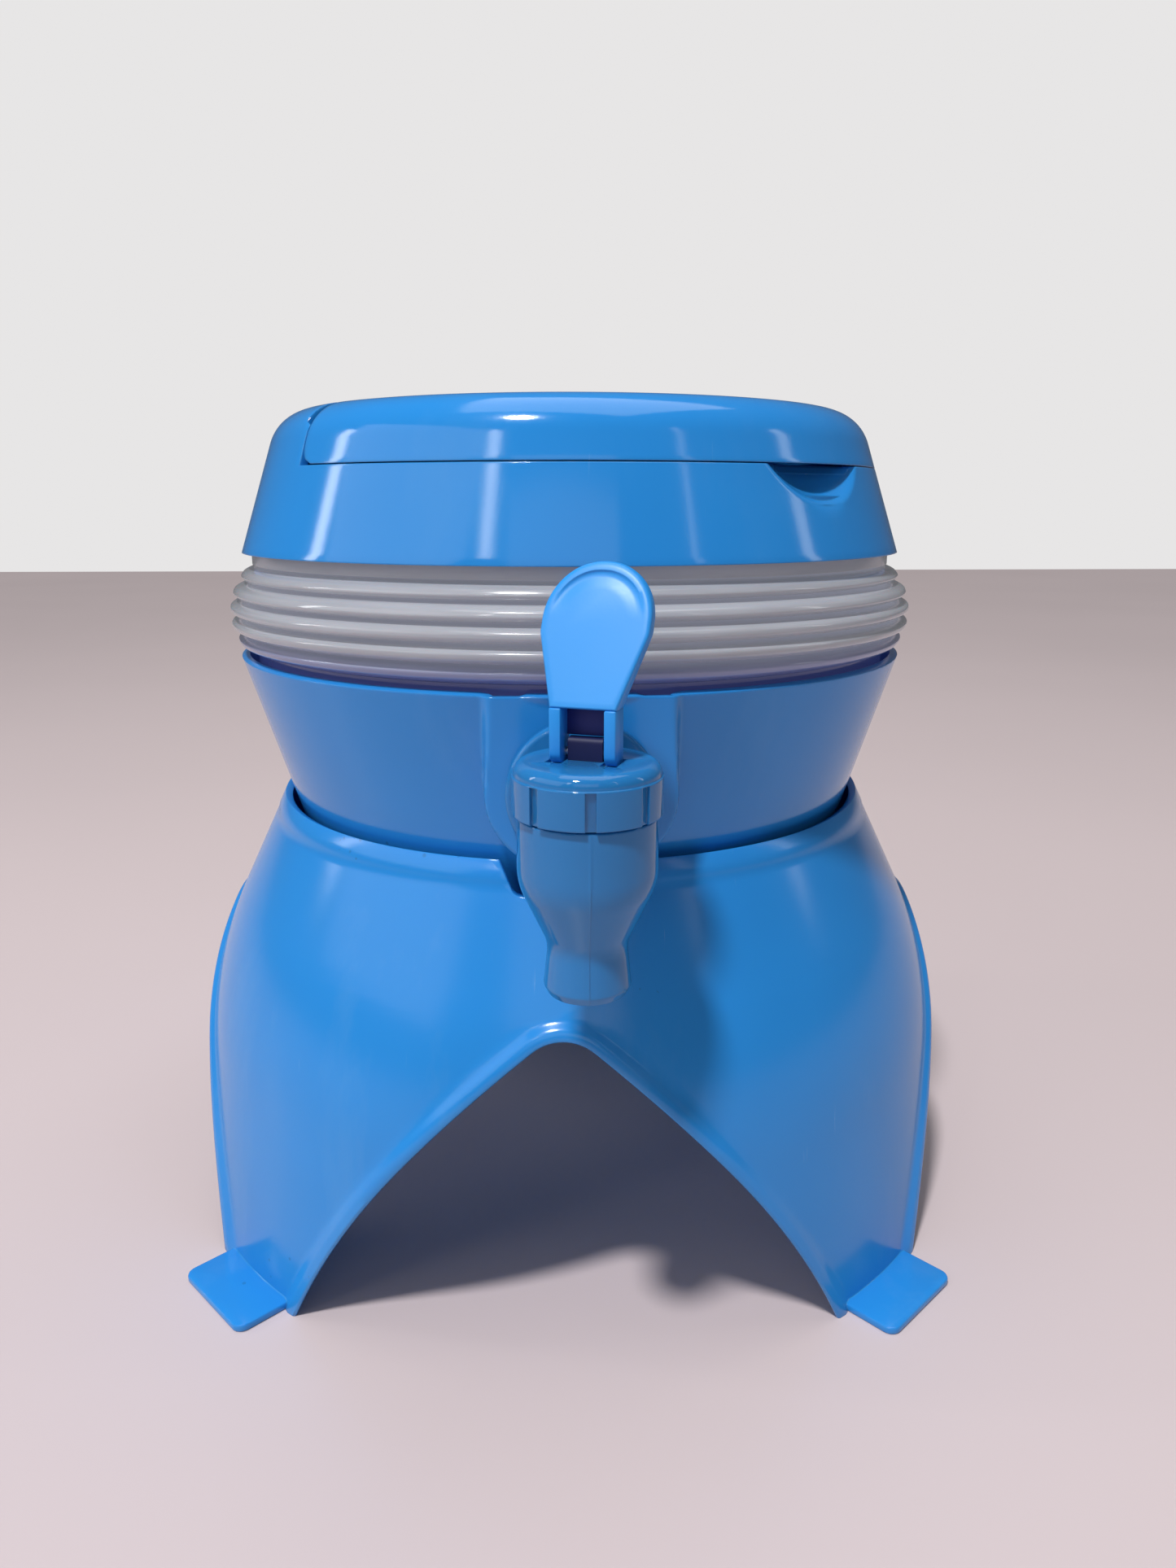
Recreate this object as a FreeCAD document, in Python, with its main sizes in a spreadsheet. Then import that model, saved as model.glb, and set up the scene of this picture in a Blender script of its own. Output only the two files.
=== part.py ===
import FreeCAD, Part
import math
import os
import re
import Sketcher

# Collapsible drinks dispenser: a bell-shaped stand on four legs, a tapered tub with a lever
# tap, an accordion bellows, and a screwed collar with a half-moon flip lid.
# Millimetres, +Z up, origin on the dispenser's axis at floor level, tap towards -Y.

doc = FreeCAD.newDocument("dispenser")
sheet = doc.addObject("Spreadsheet::Sheet", "Sizes")

# Driving dimensions. Heights called rise, drop or depth are measured from the piece below.
sizes = {
    # stand
    "stand_height": 121.5,
    "rim_gap": 0.8,
    "stand_shoulder_height": 72.8,
    "stand_shoulder_radius": 111.2,
    "stand_shoulder_round": 126,
    "stand_foot_radius": 119,
    "stand_wall": 2.2,
    "stand_turn": -2.6,
    "arch_height": 83.4,
    "arch_width": 140.4,
    "arch_crown_round": 12,
    "arch_side_round": 205,
    "arch_lip_width": 3.4,
    "arch_lip_proud": 1.6,
    "foot_tab_length": 13.7,
    "foot_tab_width": 30,
    "foot_tab_thickness": 2,
    "foot_tab_round": 3,
    "rim_notch_width": 32,
    "rim_notch_floor_width": 24,
    "rim_notch_depth": 8,
    "seat_bore_radius": 62,
    "seat_thickness": 2.2,
    # tub
    "tub_seat_height": 104,
    "tub_depth": 59,
    "tub_base_radius": 79.2,
    "tub_rim_radius": 97,
    "tub_wall": 2.2,
    "tub_floor": 2.4,
    "tub_base_round": 4,
    "pad_face": 96,
    "pad_width": 43.2,
    "pad_gap": 0.5,
    "shank_height": 141,
    "ledge_drop": 6,
    "ledge_thickness": 1.8,
    "ledge_bore_radius": 88.4,
    # bellows and the rings that hold its cuffs
    "seal_thickness": 1.4,
    "seal_gap": 0.6,
    "cuff_radius": 92.4,
    "cuff_wall": 1.2,
    "clamp_wall": 1.9,
    "ring_gap": 0.1,
    "rib_count": 5,
    "rib_pitch": 4.65,
    "rib_depth": 5.5,
    "rib_crest": 2.8,
    "rib_root": 0.9,
    "bellows_wall": 0.9,
    "bellows_radius": 99.3,
    "bellows_barrel_round": 14.8,
    "bellows_belly_rise": 12,
    "first_rib_rise": 4.3,
    "top_cuff_height": 4,
    "neck_bore_radius": 84.5,
    "neck_radius": 88,
    "neck_flange_height": 3.6,
    "neck_height": 10.4,
    "gasket_thickness": 1.4,
    # collar and flip lid
    "collar_radius": 95,
    "collar_top_radius": 82.35,
    "collar_height": 38,
    "collar_round": 13,
    "collar_wall": 2.2,
    "collar_plate": 2,
    "collar_skirt_depth": 13,
    "thread_skirt_wall": 1.9,
    "thread_gap": 0.35,
    "collar_lift_gap": 0.6,
    "collar_ledge_bore_radius": 83,
    "fill_radius": 77.5,
    "spigot_wall": 1.8,
    "spigot_height": 5.7,
    "lid_azimuth": 42,
    "seam_rise": 22.3,
    "seam_gap": 0.3,
    "hinge_offset": 4,
    "hinge_roll_radius": 2.2,
    "hinge_pin_radius": 1,
    "deck_gap": 0.8,
    "ear_position": 64,
    "ear_width": 6,
    "ear_gap": 0.4,
    "scoop_ball_radius": 39,
    "scoop_reach": 110,
    "scoop_rise": 24.5,
    # tap
    "tap_reach": 127,
    "spout_height": 106.8,
    "spout_radius": 9.2,
    "spout_end_radius": 8.3,
    "spout_lip_rise": 1.8,
    "spout_bore_radius": 6.2,
    "waist_rise": 10.8,
    "waist_radius": 8.2,
    "bulb_rise": 24.2,
    "bulb_radius": 14.4,
    "bulb_round": 14,
    "waist_round": 8,
    "barrel_top_radius": 14.2,
    "valve_seat_rise": 16.4,
    "valve_seat_radius": 8.9,
    "chamber_radius": 10.6,
    "chamber_rise": 23.2,
    "cap_rise": 38.5,
    "cap_height": 10.7,
    "cap_radius": 15.2,
    "cap_round": 3.2,
    "cap_top": 2,
    "cap_gap": 0.4,
    "cap_groove_count": 8,
    "cap_groove_width": 2.4,
    "cap_groove_depth": 0.5,
    "cap_skirt": 8,
    "barrel_neck_radius": 12.7,
    "barrel_neck_height": 5.5,
    "spring_pocket_radius": 7,
    "shank_radius": 6.8,
    "shank_bore_radius": 3.4,
    "shank_tail": 2,
    "shank_gap": 0.2,
    "flange_radius": 17.5,
    "flange_thickness": 3,
    "outer_washer_radius": 15.5,
    "outer_washer_thickness": 1.5,
    "inner_washer_radius": 12.5,
    "inner_washer_thickness": 2,
    "nut_flats": 22,
    "nut_thickness": 6,
    # valve
    "valve_lift": 1.1,
    "cup_radius": 8.4,
    "cup_nose_radius": 7.6,
    "cup_nose_height": 2.3,
    "cup_height": 7.6,
    "spigot_socket_depth": 3.8,
    "stem_spigot_radius": 3,
    "stem_shoulder_radius": 6.4,
    "stem_shoulder_height": 2.2,
    "stem_radius": 3.6,
    "tongue_width": 7.2,
    "tongue_thickness": 3.2,
    "tongue_rise": 3.2,
    "slide_gap": 0.08,
    "fit_gap": 0.03,
    "spring_radius": 5.2,
    "spring_wire": 0.8,
    "spring_turns": 6,
    # lever
    "lever_turn": -20,
    "lever_pin_radius": 0.9,
    "lever_pin_rise": 2,
    "lever_gap": 0.15,
    "lever_leg_thickness": 5.8,
    "lever_heel_ahead": 1.4,
    "lever_heel_above": 0.374,
    "lever_window_width": 8.8,
    "lever_base_width": 13.6,
    "lever_leg_height": 11.2,
    "lever_web_drop": 5.4,
    "lever_web_thickness": 1.4,
    "lever_head_width": 22.4,
    "lever_height": 38.4,
    "lever_lean": 28,
    "lever_tip_thickness": 2.6,
    "leg_pocket_depth": 0.8,
    "leg_pocket_gap": 0.5,
}
for row, (alias, size) in enumerate(sizes.items(), start=1):
    sheet.set(f"A{row}", str(size))
    sheet.setAlias(f"A{row}", alias)
doc.recompute()

# Heights and radii that several pieces share, as expressions of the sheet's names.
tub_rim = "(tub_seat_height + tub_depth)"
tub_taper = "((tub_rim_radius - tub_base_radius) / tub_depth)"
ledge_top = f"({tub_rim} - ledge_drop)"
seal_top = f"({ledge_top} + seal_thickness)"
first_rib = f"({tub_rim} + first_rib_rise)"
last_rib = f"({first_rib} + (rib_count - 1) * rib_pitch)"
bellows_top = f"({last_rib} + (rib_pitch + rib_root) / 2 + top_cuff_height)"
neck_top = f"({bellows_top} + neck_height)"
gasket_top = f"({neck_top} + gasket_thickness)"
collar_base = f"({gasket_top} - collar_skirt_depth)"
collar_top = f"({collar_base} + collar_height)"
collar_taper = "((collar_radius - collar_top_radius) / collar_height)"
seam = f"({collar_base} + seam_rise)"
hinge_height = f"({collar_top} - hinge_roll_radius)"
deck_edge = "(hinge_offset + hinge_roll_radius + deck_gap)"
valve_seat = "(spout_height + valve_seat_rise)"
cap_base = "(spout_height + cap_rise)"
cap_crown = f"({cap_base} + cap_height)"
pocket_floor = f"({cap_crown} - leg_pocket_depth)"
pin_height = f"({pocket_floor} + lever_gap + lever_pin_rise)"
spring_ceiling = f"({cap_crown} - cap_top)"
stem_shoulder = f"({valve_seat} + cup_height)"
lever_base = f"({pocket_floor} + lever_gap)"
stand_rim = f"(tub_base_radius + (stand_height - tub_seat_height) * {tub_taper} + rim_gap + stand_wall)"
stand_slope = f"((stand_shoulder_radius - {stand_rim}) / (stand_height - stand_shoulder_height))"
# The heel is an arc ahead of the pin and a little above it, so the lift grows evenly with the tilt.
heel_round = "(lever_pin_rise + lever_heel_above)"
leg_front = f"(lever_heel_ahead + {heel_round})"
leg_back = f"(lever_leg_thickness - {leg_front})"

pieces = {}


def cells(text):
    # The same expression with every plain name looked up in the sheet.
    return re.sub(r"\b[a-z]\w*\b(?!\()", r"Sizes.\g<0>", text)


def value(text):
    return float(sheet.evalExpression(text))


def bind(thing, **expressions):
    for path, text in expressions.items():
        thing.setExpression(path.replace("__", "."), cells(text))


def place(thing, x="0", y="0", z="0", turn="0"):
    bind(thing, Placement__Base__x=x, Placement__Base__y=y, Placement__Base__z=z,
         Placement__Rotation__Angle=turn)


def finish(thing, label):
    thing.Label = label
    pieces[label] = thing
    return thing


def tie(rules, geometry, end, x, y):
    # Holds one point of a sketch at x, y, and lists the two dimensions with their expressions.
    held = []
    for kind, axis, text in (("DistanceX", -2, x), ("DistanceY", -1, y)):
        if text == "0":
            rules.append(Sketcher.Constraint("PointOnObject", geometry, end, axis))
            continue
        held.append((len(rules), text))
        rules.append(Sketcher.Constraint(kind, -1, 1, geometry, end, value(text)))
    return held


def draw(sketch, corners):
    # A closed outline of straight runs. A corner is (x, y) or (x, y, round), all expressions.
    points = [FreeCAD.Vector(value(c[0]), value(c[1]), 0) for c in corners]
    count = len(points)
    rounds = [value(c[2]) if len(c) > 2 else 0 for c in corners]
    runs = [(points[(i + 1) % count] - points[i]).normalize() for i in range(count)]
    turns = [runs[i - 1].getAngle(runs[i]) for i in range(count)]
    reach = [rounds[i] * math.tan(turns[i] / 2) for i in range(count)]
    rules = []
    held = []
    for i in range(count):
        begin = points[i] + runs[i] * reach[i]
        end = points[(i + 1) % count] - runs[i] * reach[(i + 1) % count]
        sketch.addGeometry(Part.LineSegment(begin, end))
    for i, corner in enumerate(corners):
        before = (i - 1) % count
        if not rounds[i]:
            rules.append(Sketcher.Constraint("Coincident", before, 2, i, 1))
            held += tie(rules, i, 1, corner[0], corner[1])
            continue
        left = runs[before].cross(runs[i]).z > 0
        inward = FreeCAD.Vector(-runs[before].y, runs[before].x, 0) * (1 if left else -1)
        start = points[i] - runs[before] * reach[i]
        centre = start + inward * rounds[i]
        stop = points[i] + runs[i] * reach[i]
        first, last = (start, stop) if left else (stop, start)
        angles = [math.atan2(p.y - centre.y, p.x - centre.x) for p in (first, last)]
        circle = Part.Circle(centre, FreeCAD.Vector(0, 0, 1), rounds[i])
        arc = sketch.addGeometry(Part.ArcOfCircle(circle, *angles))
        corner_point = sketch.addGeometry(Part.Point(points[i]), True)
        rules.append(Sketcher.Constraint("Tangent", before, 2, arc, 1 if left else 2))
        rules.append(Sketcher.Constraint("Tangent", arc, 2 if left else 1, i, 1))
        rules.append(Sketcher.Constraint("PointOnObject", corner_point, 1, before))
        rules.append(Sketcher.Constraint("PointOnObject", corner_point, 1, i))
        held.append((len(rules), corner[2]))
        rules.append(Sketcher.Constraint("Radius", arc, rounds[i]))
        held += tie(rules, corner_point, 1, corner[0], corner[1])
    sketch.addConstraint(rules)
    for index, text in held:
        sketch.setExpression(f"Constraints[{index}]", cells(text))


# Sketch planes of the loose sketches: front looks along Y, side along X, floor along Z.
planes = {
    "front": FreeCAD.Rotation(FreeCAD.Vector(1, 0, 0), 90),
    "side": FreeCAD.Rotation(FreeCAD.Vector(1, 1, 1), 120),
    "floor": FreeCAD.Rotation(),
}
axes = {
    "x": FreeCAD.Rotation(FreeCAD.Vector(0, 1, 0), 90),
    "y": FreeCAD.Rotation(FreeCAD.Vector(1, 0, 0), -90),
    "z": FreeCAD.Rotation(),
}


def loose_sketch(name, plane):
    sketch = doc.addObject("Sketcher::SketchObject", name + "_sketch")
    sketch.Placement = FreeCAD.Placement(FreeCAD.Vector(), planes[plane])
    return sketch


def revolved(name, corners):
    sketch = loose_sketch(name, "front")
    draw(sketch, corners)
    solid = doc.addObject("Part::Revolution", name)
    solid.Source = sketch
    solid.Axis = FreeCAD.Vector(0, 0, 1)
    solid.Angle = 360
    solid.Solid = True
    return solid


def extruded(name, sketch, ahead, behind="0"):
    solid = doc.addObject("Part::Extrusion", name)
    solid.Base = sketch
    solid.DirMode = "Normal"
    solid.Solid = True
    bind(solid, LengthFwd=ahead, LengthRev=behind)
    return solid


def prism(name, plane, corners, ahead, behind="0"):
    sketch = loose_sketch(name, plane)
    draw(sketch, corners)
    return extruded(name, sketch, ahead, behind)


def cylinder(name, axis, radius, length, x="0", y="0", z="0"):
    solid = doc.addObject("Part::Cylinder", name)
    solid.Placement = FreeCAD.Placement(FreeCAD.Vector(), axes[axis])
    bind(solid, Radius=radius, Height=length, Placement__Base__x=x, Placement__Base__y=y,
         Placement__Base__z=z)
    return solid


def box(name, x, y, z):
    # x, y and z are (low, high) pairs of expressions.
    solid = doc.addObject("Part::Box", name)
    bind(solid, Length=f"({x[1]}) - ({x[0]})", Width=f"({y[1]}) - ({y[0]})",
         Height=f"({z[1]}) - ({z[0]})", Placement__Base__x=x[0], Placement__Base__y=y[0],
         Placement__Base__z=z[0])
    return solid


def ball(name, radius, x="0", y="0", z="0"):
    solid = doc.addObject("Part::Sphere", name)
    bind(solid, Radius=radius)
    place(solid, x, y, z)
    return solid


def joined(name, parts):
    solid = doc.addObject("Part::MultiFuse", name)
    solid.Shapes = parts
    solid.Refine = True
    return solid


def shared(name, parts):
    solid = doc.addObject("Part::MultiCommon", name)
    solid.Shapes = parts
    return solid


def less(name, base, tool):
    solid = doc.addObject("Part::Cut", name)
    solid.Base = base
    solid.Tool = tool
    solid.Refine = True
    return solid


def new_body(label):
    return finish(doc.addObject("PartDesign::Body", label), label)


def body_sketch(body, name, role, offset="0"):
    sketch = body.newObject("Sketcher::SketchObject", name)
    plane = [f for f in body.Origin.OriginFeatures if f.Role == role][0]
    sketch.AttachmentSupport = [(plane, "")]
    sketch.MapMode = "FlatFace"
    bind(sketch, AttachmentOffset__Base__z=offset)
    return sketch


def turned(body, name, corners, kind="Revolution"):
    # A full turn of an outline of (radius, height) corners about the body's own Z axis.
    sketch = body_sketch(body, name + "_sketch", "XZ_Plane")
    draw(sketch, corners)
    feature = body.newObject("PartDesign::" + kind, name)
    feature.Profile = sketch
    feature.ReferenceAxis = (sketch, ["V_Axis"])
    feature.Angle = 360
    return feature


def pushed(body, name, sketch, kind, length, backwards=False):
    feature = body.newObject("PartDesign::" + kind, name)
    feature.Profile = sketch
    feature.Reversed = backwards
    bind(feature, Length=length)
    return feature


def circle_sketch(body, name, role, offset, radius, x, y):
    sketch = body_sketch(body, name, role, offset)
    centre = FreeCAD.Vector(value(x), value(y), 0)
    sketch.addGeometry(Part.Circle(centre, FreeCAD.Vector(0, 0, 1), value(radius)))
    rules = [Sketcher.Constraint("Radius", 0, value(radius))]
    held = [(0, radius)] + tie(rules, 0, 3, x, y)
    sketch.addConstraint(rules)
    for index, text in held:
        sketch.setExpression(f"Constraints[{index}]", cells(text))
    return sketch


def cross_pin(label, radius, half, y, z):
    # A round pin along X, half as long to either side.
    body = new_body(label)
    section = circle_sketch(body, label + "_section", "YZ_Plane", f"-({half})", radius, y, z)
    pushed(body, label + "_rod", section, "Pad", f"2 * ({half})")
    return body


def ring(label, inner, outer, low, high):
    # A plain ring of rectangular section about the dispenser's axis.
    body = new_body(label)
    turned(body, label + "_turn", [(inner, low), (outer, low), (outer, high), (inner, high)])
    return body


def stand_skin(name, inward, outward):
    # The stand's bell between two offsets from its outer face.
    return revolved(name, [
        (f"stand_foot_radius + {outward}", "0"),
        (f"stand_shoulder_radius + {outward}", "stand_shoulder_height", "stand_shoulder_round"),
        (f"{stand_rim} + {outward}", "stand_height"),
        (f"{stand_rim} - {inward}", "stand_height"),
        (f"stand_shoulder_radius - {inward}", "stand_shoulder_height", "stand_shoulder_round"),
        (f"stand_foot_radius - {inward}", "0"),
    ])


def arch_sketch(name, plane):
    # A pointed arch on the floor: two long side arcs run tangent into a small crown arc.
    side = value("arch_side_round")
    crown = value("arch_crown_round")
    half = value("arch_width / 2")
    rise = value("arch_height - arch_crown_round")
    base_to_crown = math.hypot(half, rise)
    along = (side ** 2 - (side - crown) ** 2 + base_to_crown ** 2) / (2 * base_to_crown)
    across = math.sqrt(side ** 2 - along ** 2)
    to_crown = FreeCAD.Vector(-half, rise, 0) / base_to_crown
    to_centre = FreeCAD.Vector(-to_crown.y, to_crown.x, 0)
    centre = FreeCAD.Vector(half, 0, 0) + to_crown * along + to_centre * across
    lean = math.atan2(rise - centre.y, -centre.x)
    foot = math.atan2(-centre.y, half - centre.x)
    mirrored = FreeCAD.Vector(-centre.x, centre.y, 0)
    up = FreeCAD.Vector(0, 0, 1)
    sketch = loose_sketch(name, plane)
    sketch.addGeometry([
        Part.ArcOfCircle(Part.Circle(centre, up, side), foot, lean),
        Part.ArcOfCircle(Part.Circle(FreeCAD.Vector(0, rise, 0), up, crown), lean, math.pi - lean),
        Part.ArcOfCircle(Part.Circle(mirrored, up, side), math.pi - lean, math.pi - foot),
        Part.LineSegment(FreeCAD.Vector(-half, 0, 0), FreeCAD.Vector(half, 0, 0)),
    ])
    rules = [
        Sketcher.Constraint("Tangent", 0, 2, 1, 1),
        Sketcher.Constraint("Tangent", 1, 2, 2, 1),
        Sketcher.Constraint("Coincident", 2, 2, 3, 1),
        Sketcher.Constraint("Coincident", 3, 2, 0, 1),
        Sketcher.Constraint("Equal", 0, 2),
        Sketcher.Constraint("PointOnObject", 1, 3, -2),
    ]
    held = [(len(rules), "arch_side_round"), (len(rules) + 1, "arch_crown_round"),
            (len(rules) + 2, "arch_height - arch_crown_round")]
    rules += [
        Sketcher.Constraint("Radius", 0, side),
        Sketcher.Constraint("Radius", 1, crown),
        Sketcher.Constraint("DistanceY", -1, 1, 1, 3, rise),
    ]
    held += tie(rules, 3, 1, "-arch_width / 2", "0")
    held += tie(rules, 3, 2, "arch_width / 2", "0")
    sketch.addConstraint(rules)
    for index, text in held:
        sketch.setExpression(f"Constraints[{index}]", cells(text))
    return sketch


def pad_corners(inset, top):
    # A tombstone: square top, round bottom about the tap's shank.
    half = f"pad_width / 2 - {inset}"
    return [
        (f"-({half})", f"shank_height - ({half})", f"({half}) * 0.98"),
        (half, f"shank_height - ({half})", f"({half}) * 0.98"),
        (half, top),
        (f"-({half})", top),
    ]


def make_stand():
    wall = stand_skin("stand_wall_turn", "stand_wall", "0")
    seat_edge = f"{stand_rim} + (stand_height - tub_seat_height) * {stand_slope} - stand_wall / 2"
    seat_under = "tub_seat_height - seat_thickness"
    seat = revolved("stand_seat", [
        ("seat_bore_radius", seat_under),
        (seat_edge, seat_under),
        (seat_edge, "tub_seat_height"),
        ("seat_bore_radius", "tub_seat_height"),
    ])
    span = "stand_foot_radius + foot_tab_length"
    arches = []
    lip_blocks = []
    for plane in ("front", "side"):
        sketch = arch_sketch(f"arch_{plane}", plane)
        arches.append(extruded(f"arch_{plane}_cut", sketch, span, span))
        grown = doc.addObject("Part::Offset2D", f"arch_{plane}_lip_outline")
        grown.Source = sketch
        bind(grown, Value="arch_lip_width")
        lip_blocks.append(extruded(f"arch_{plane}_lip_block", grown, span, span))
    lip_skin = stand_skin("lip_skin", "stand_wall / 2", "arch_lip_proud")
    lips = shared("arch_lips", [lip_skin, joined("lip_blocks", lip_blocks)])
    tab_root = "stand_foot_radius - stand_wall / 2"
    tab_end = "stand_foot_radius + foot_tab_length"
    tab_sketch = loose_sketch("foot_tab", "floor")
    draw(tab_sketch, [
        (tab_root, "-foot_tab_width / 2"),
        (tab_end, "-foot_tab_width / 2", "foot_tab_round"),
        (tab_end, "foot_tab_width / 2", "foot_tab_round"),
        (tab_root, "foot_tab_width / 2"),
    ])
    tabs = []
    for quarter in range(4):
        tab = extruded(f"foot_tab_{quarter}", tab_sketch, "foot_tab_thickness")
        place(tab, turn=f"45 + 90 * {quarter}")
        tabs.append(tab)
    notch_floor = "stand_height - rim_notch_depth"
    notch = prism("rim_notch", "front", [
        ("-rim_notch_floor_width / 2", notch_floor, "rim_notch_depth / 3"),
        ("rim_notch_floor_width / 2", notch_floor, "rim_notch_depth / 3"),
        ("rim_notch_width / 2", "stand_height"),
        ("-rim_notch_width / 2", "stand_height"),
    ], span)
    pad_room = prism("pad_room", "front", pad_corners("(-pad_gap)", tub_rim), span)
    place(pad_room, turn="-stand_turn")
    whole = joined("stand_whole", [wall, seat, lips] + tabs)
    stand = less("stand_open", whole, joined("stand_cuts", arches + [notch, pad_room]))
    place(stand, turn="stand_turn")
    finish(stand, "stand")


def make_tub():
    body = new_body("tub")
    turned(body, "tub_outside", [
        ("0", "tub_seat_height"),
        ("tub_base_radius", "tub_seat_height", "tub_base_round"),
        ("tub_rim_radius", tub_rim),
        ("0", tub_rim),
    ])
    pad = body_sketch(body, "pad_outline", "XZ_Plane", "pad_face")
    draw(pad, pad_corners("0", tub_rim))
    pushed(body, "tap_pad", pad, "Pad", "pad_face - tub_base_radius / 2", True)
    floor_top = "tub_seat_height + tub_floor"
    turned(body, "tub_inside", [
        ("0", floor_top),
        (f"tub_base_radius + tub_floor * {tub_taper} - tub_wall", floor_top, "tub_base_round"),
        ("tub_rim_radius - tub_wall", tub_rim),
        ("0", tub_rim),
    ], "Groove")
    hollow = body_sketch(body, "pad_hollow_outline", "XZ_Plane", "pad_face - tub_wall")
    draw(hollow, pad_corners("tub_wall", f"{ledge_top} - ledge_thickness"))
    pushed(body, "pad_hollow", hollow, "Pocket", "pad_face - tub_base_radius / 2")
    ledge_under = f"{ledge_top} - ledge_thickness"
    ledge_edge = f"tub_rim_radius - ledge_drop * {tub_taper} - tub_wall / 2"
    turned(body, "seal_ledge", [
        ("ledge_bore_radius", ledge_under),
        (ledge_edge, ledge_under),
        (ledge_edge, ledge_top),
        ("ledge_bore_radius", ledge_top),
    ])
    hole = circle_sketch(body, "shank_hole_outline", "XZ_Plane", "pad_face",
                         "shank_radius + shank_gap", "0", "shank_height")
    pushed(body, "shank_hole", hole, "Pocket", "tub_wall * 1.5")


def make_bellows():
    # Ruled loft through the cuffs' circles and four circles a rib, outside less inside.
    count = round(sheet.rib_count)
    pitch = sheet.rib_pitch
    belly = value(f"{tub_rim} + bellows_belly_rise")
    low = value(seal_top)
    high = value(bellows_top)
    outside = [(sheet.cuff_radius, low)]
    inside = [(sheet.cuff_radius - sheet.cuff_wall, low - sheet.cuff_wall)]
    root_half = (pitch - sheet.rib_root) / 2
    crest_half = sheet.rib_crest / 2
    wall = sheet.bellows_wall
    first = value(first_rib)
    outside.append((sheet.cuff_radius, first - pitch / 2 - sheet.rib_root / 2))
    inside.append((sheet.cuff_radius - sheet.cuff_wall, first - pitch / 2 - sheet.rib_root / 2))
    for rib in range(count):
        middle = first + rib * pitch
        crest = sheet.bellows_radius - (middle - belly) ** 2 / (2 * sheet.bellows_barrel_round)
        root = crest - sheet.rib_depth
        for radius, half, rows, thin in ((root, root_half, outside, 0), (crest, crest_half, outside, 0),
                                         (root, root_half, inside, wall), (crest, crest_half, inside, wall)):
            rows.append((radius - thin, middle - half + thin))
        for radius, half, rows, thin in ((crest, crest_half, outside, 0), (root, root_half, outside, 0),
                                         (crest, crest_half, inside, wall), (root, root_half, inside, wall)):
            rows.append((radius - thin, middle + half - thin))
    top_cuff = high - sheet.top_cuff_height
    outside += [(sheet.cuff_radius, top_cuff), (sheet.cuff_radius, high)]
    inside += [(sheet.cuff_radius - sheet.cuff_wall, top_cuff + sheet.cuff_wall),
               (sheet.cuff_radius - sheet.cuff_wall, high + sheet.cuff_wall)]

    def stacked(rows):
        wires = [Part.Wire(Part.makeCircle(r, FreeCAD.Vector(0, 0, z))) for r, z in rows]
        return Part.makeLoft(wires, True, True)

    bellows = doc.addObject("Part::Feature", "bellows")
    bellows.Shape = stacked(outside).cut(stacked(inside))
    bellows.Placement = FreeCAD.Placement()
    finish(bellows, "bellows")


def make_rings():
    cuff_bore = "cuff_radius - cuff_wall"
    ring("lower_seal", "ledge_bore_radius + seal_gap",
         f"tub_rim_radius - tub_wall - ledge_drop * {tub_taper} - seal_gap", ledge_top, seal_top)
    clamp_radius = f"{cuff_bore} - ring_gap"
    clamp_top = f"{first_rib} - rib_pitch / 2"
    ring("lower_clamp_ring", f"{clamp_radius} - clamp_wall", clamp_radius, seal_top, clamp_top)
    neck = new_body("neck_ring")
    flange_radius = f"{cuff_bore} - ring_gap"
    flange_base = f"{bellows_top} - neck_flange_height + cuff_wall"
    turned(neck, "neck_turn", [
        ("neck_bore_radius", flange_base),
        (flange_radius, flange_base),
        (flange_radius, bellows_top),
        ("neck_radius", bellows_top),
        ("neck_radius", neck_top),
        ("neck_bore_radius", neck_top),
    ])
    ring("neck_gasket", "neck_bore_radius", "neck_radius", neck_top, gasket_top)


def collar_profile(base, inner_drop):
    # Cone and rounded shoulder of the collar and lid, down to a given height.
    rise = f"({base} - {collar_base})"
    thin = "collar_wall"
    return [
        (f"collar_radius - {rise} * {collar_taper}", base),
        ("collar_top_radius", collar_top, "collar_round"),
        ("0", collar_top),
        ("0", f"{collar_top} - {inner_drop}"),
        (f"collar_top_radius - {thin} + {inner_drop} * {collar_taper}",
         f"{collar_top} - {inner_drop}", f"collar_round - {thin}"),
        (f"collar_radius - {rise} * {collar_taper} - {thin}", base),
    ]


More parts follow.
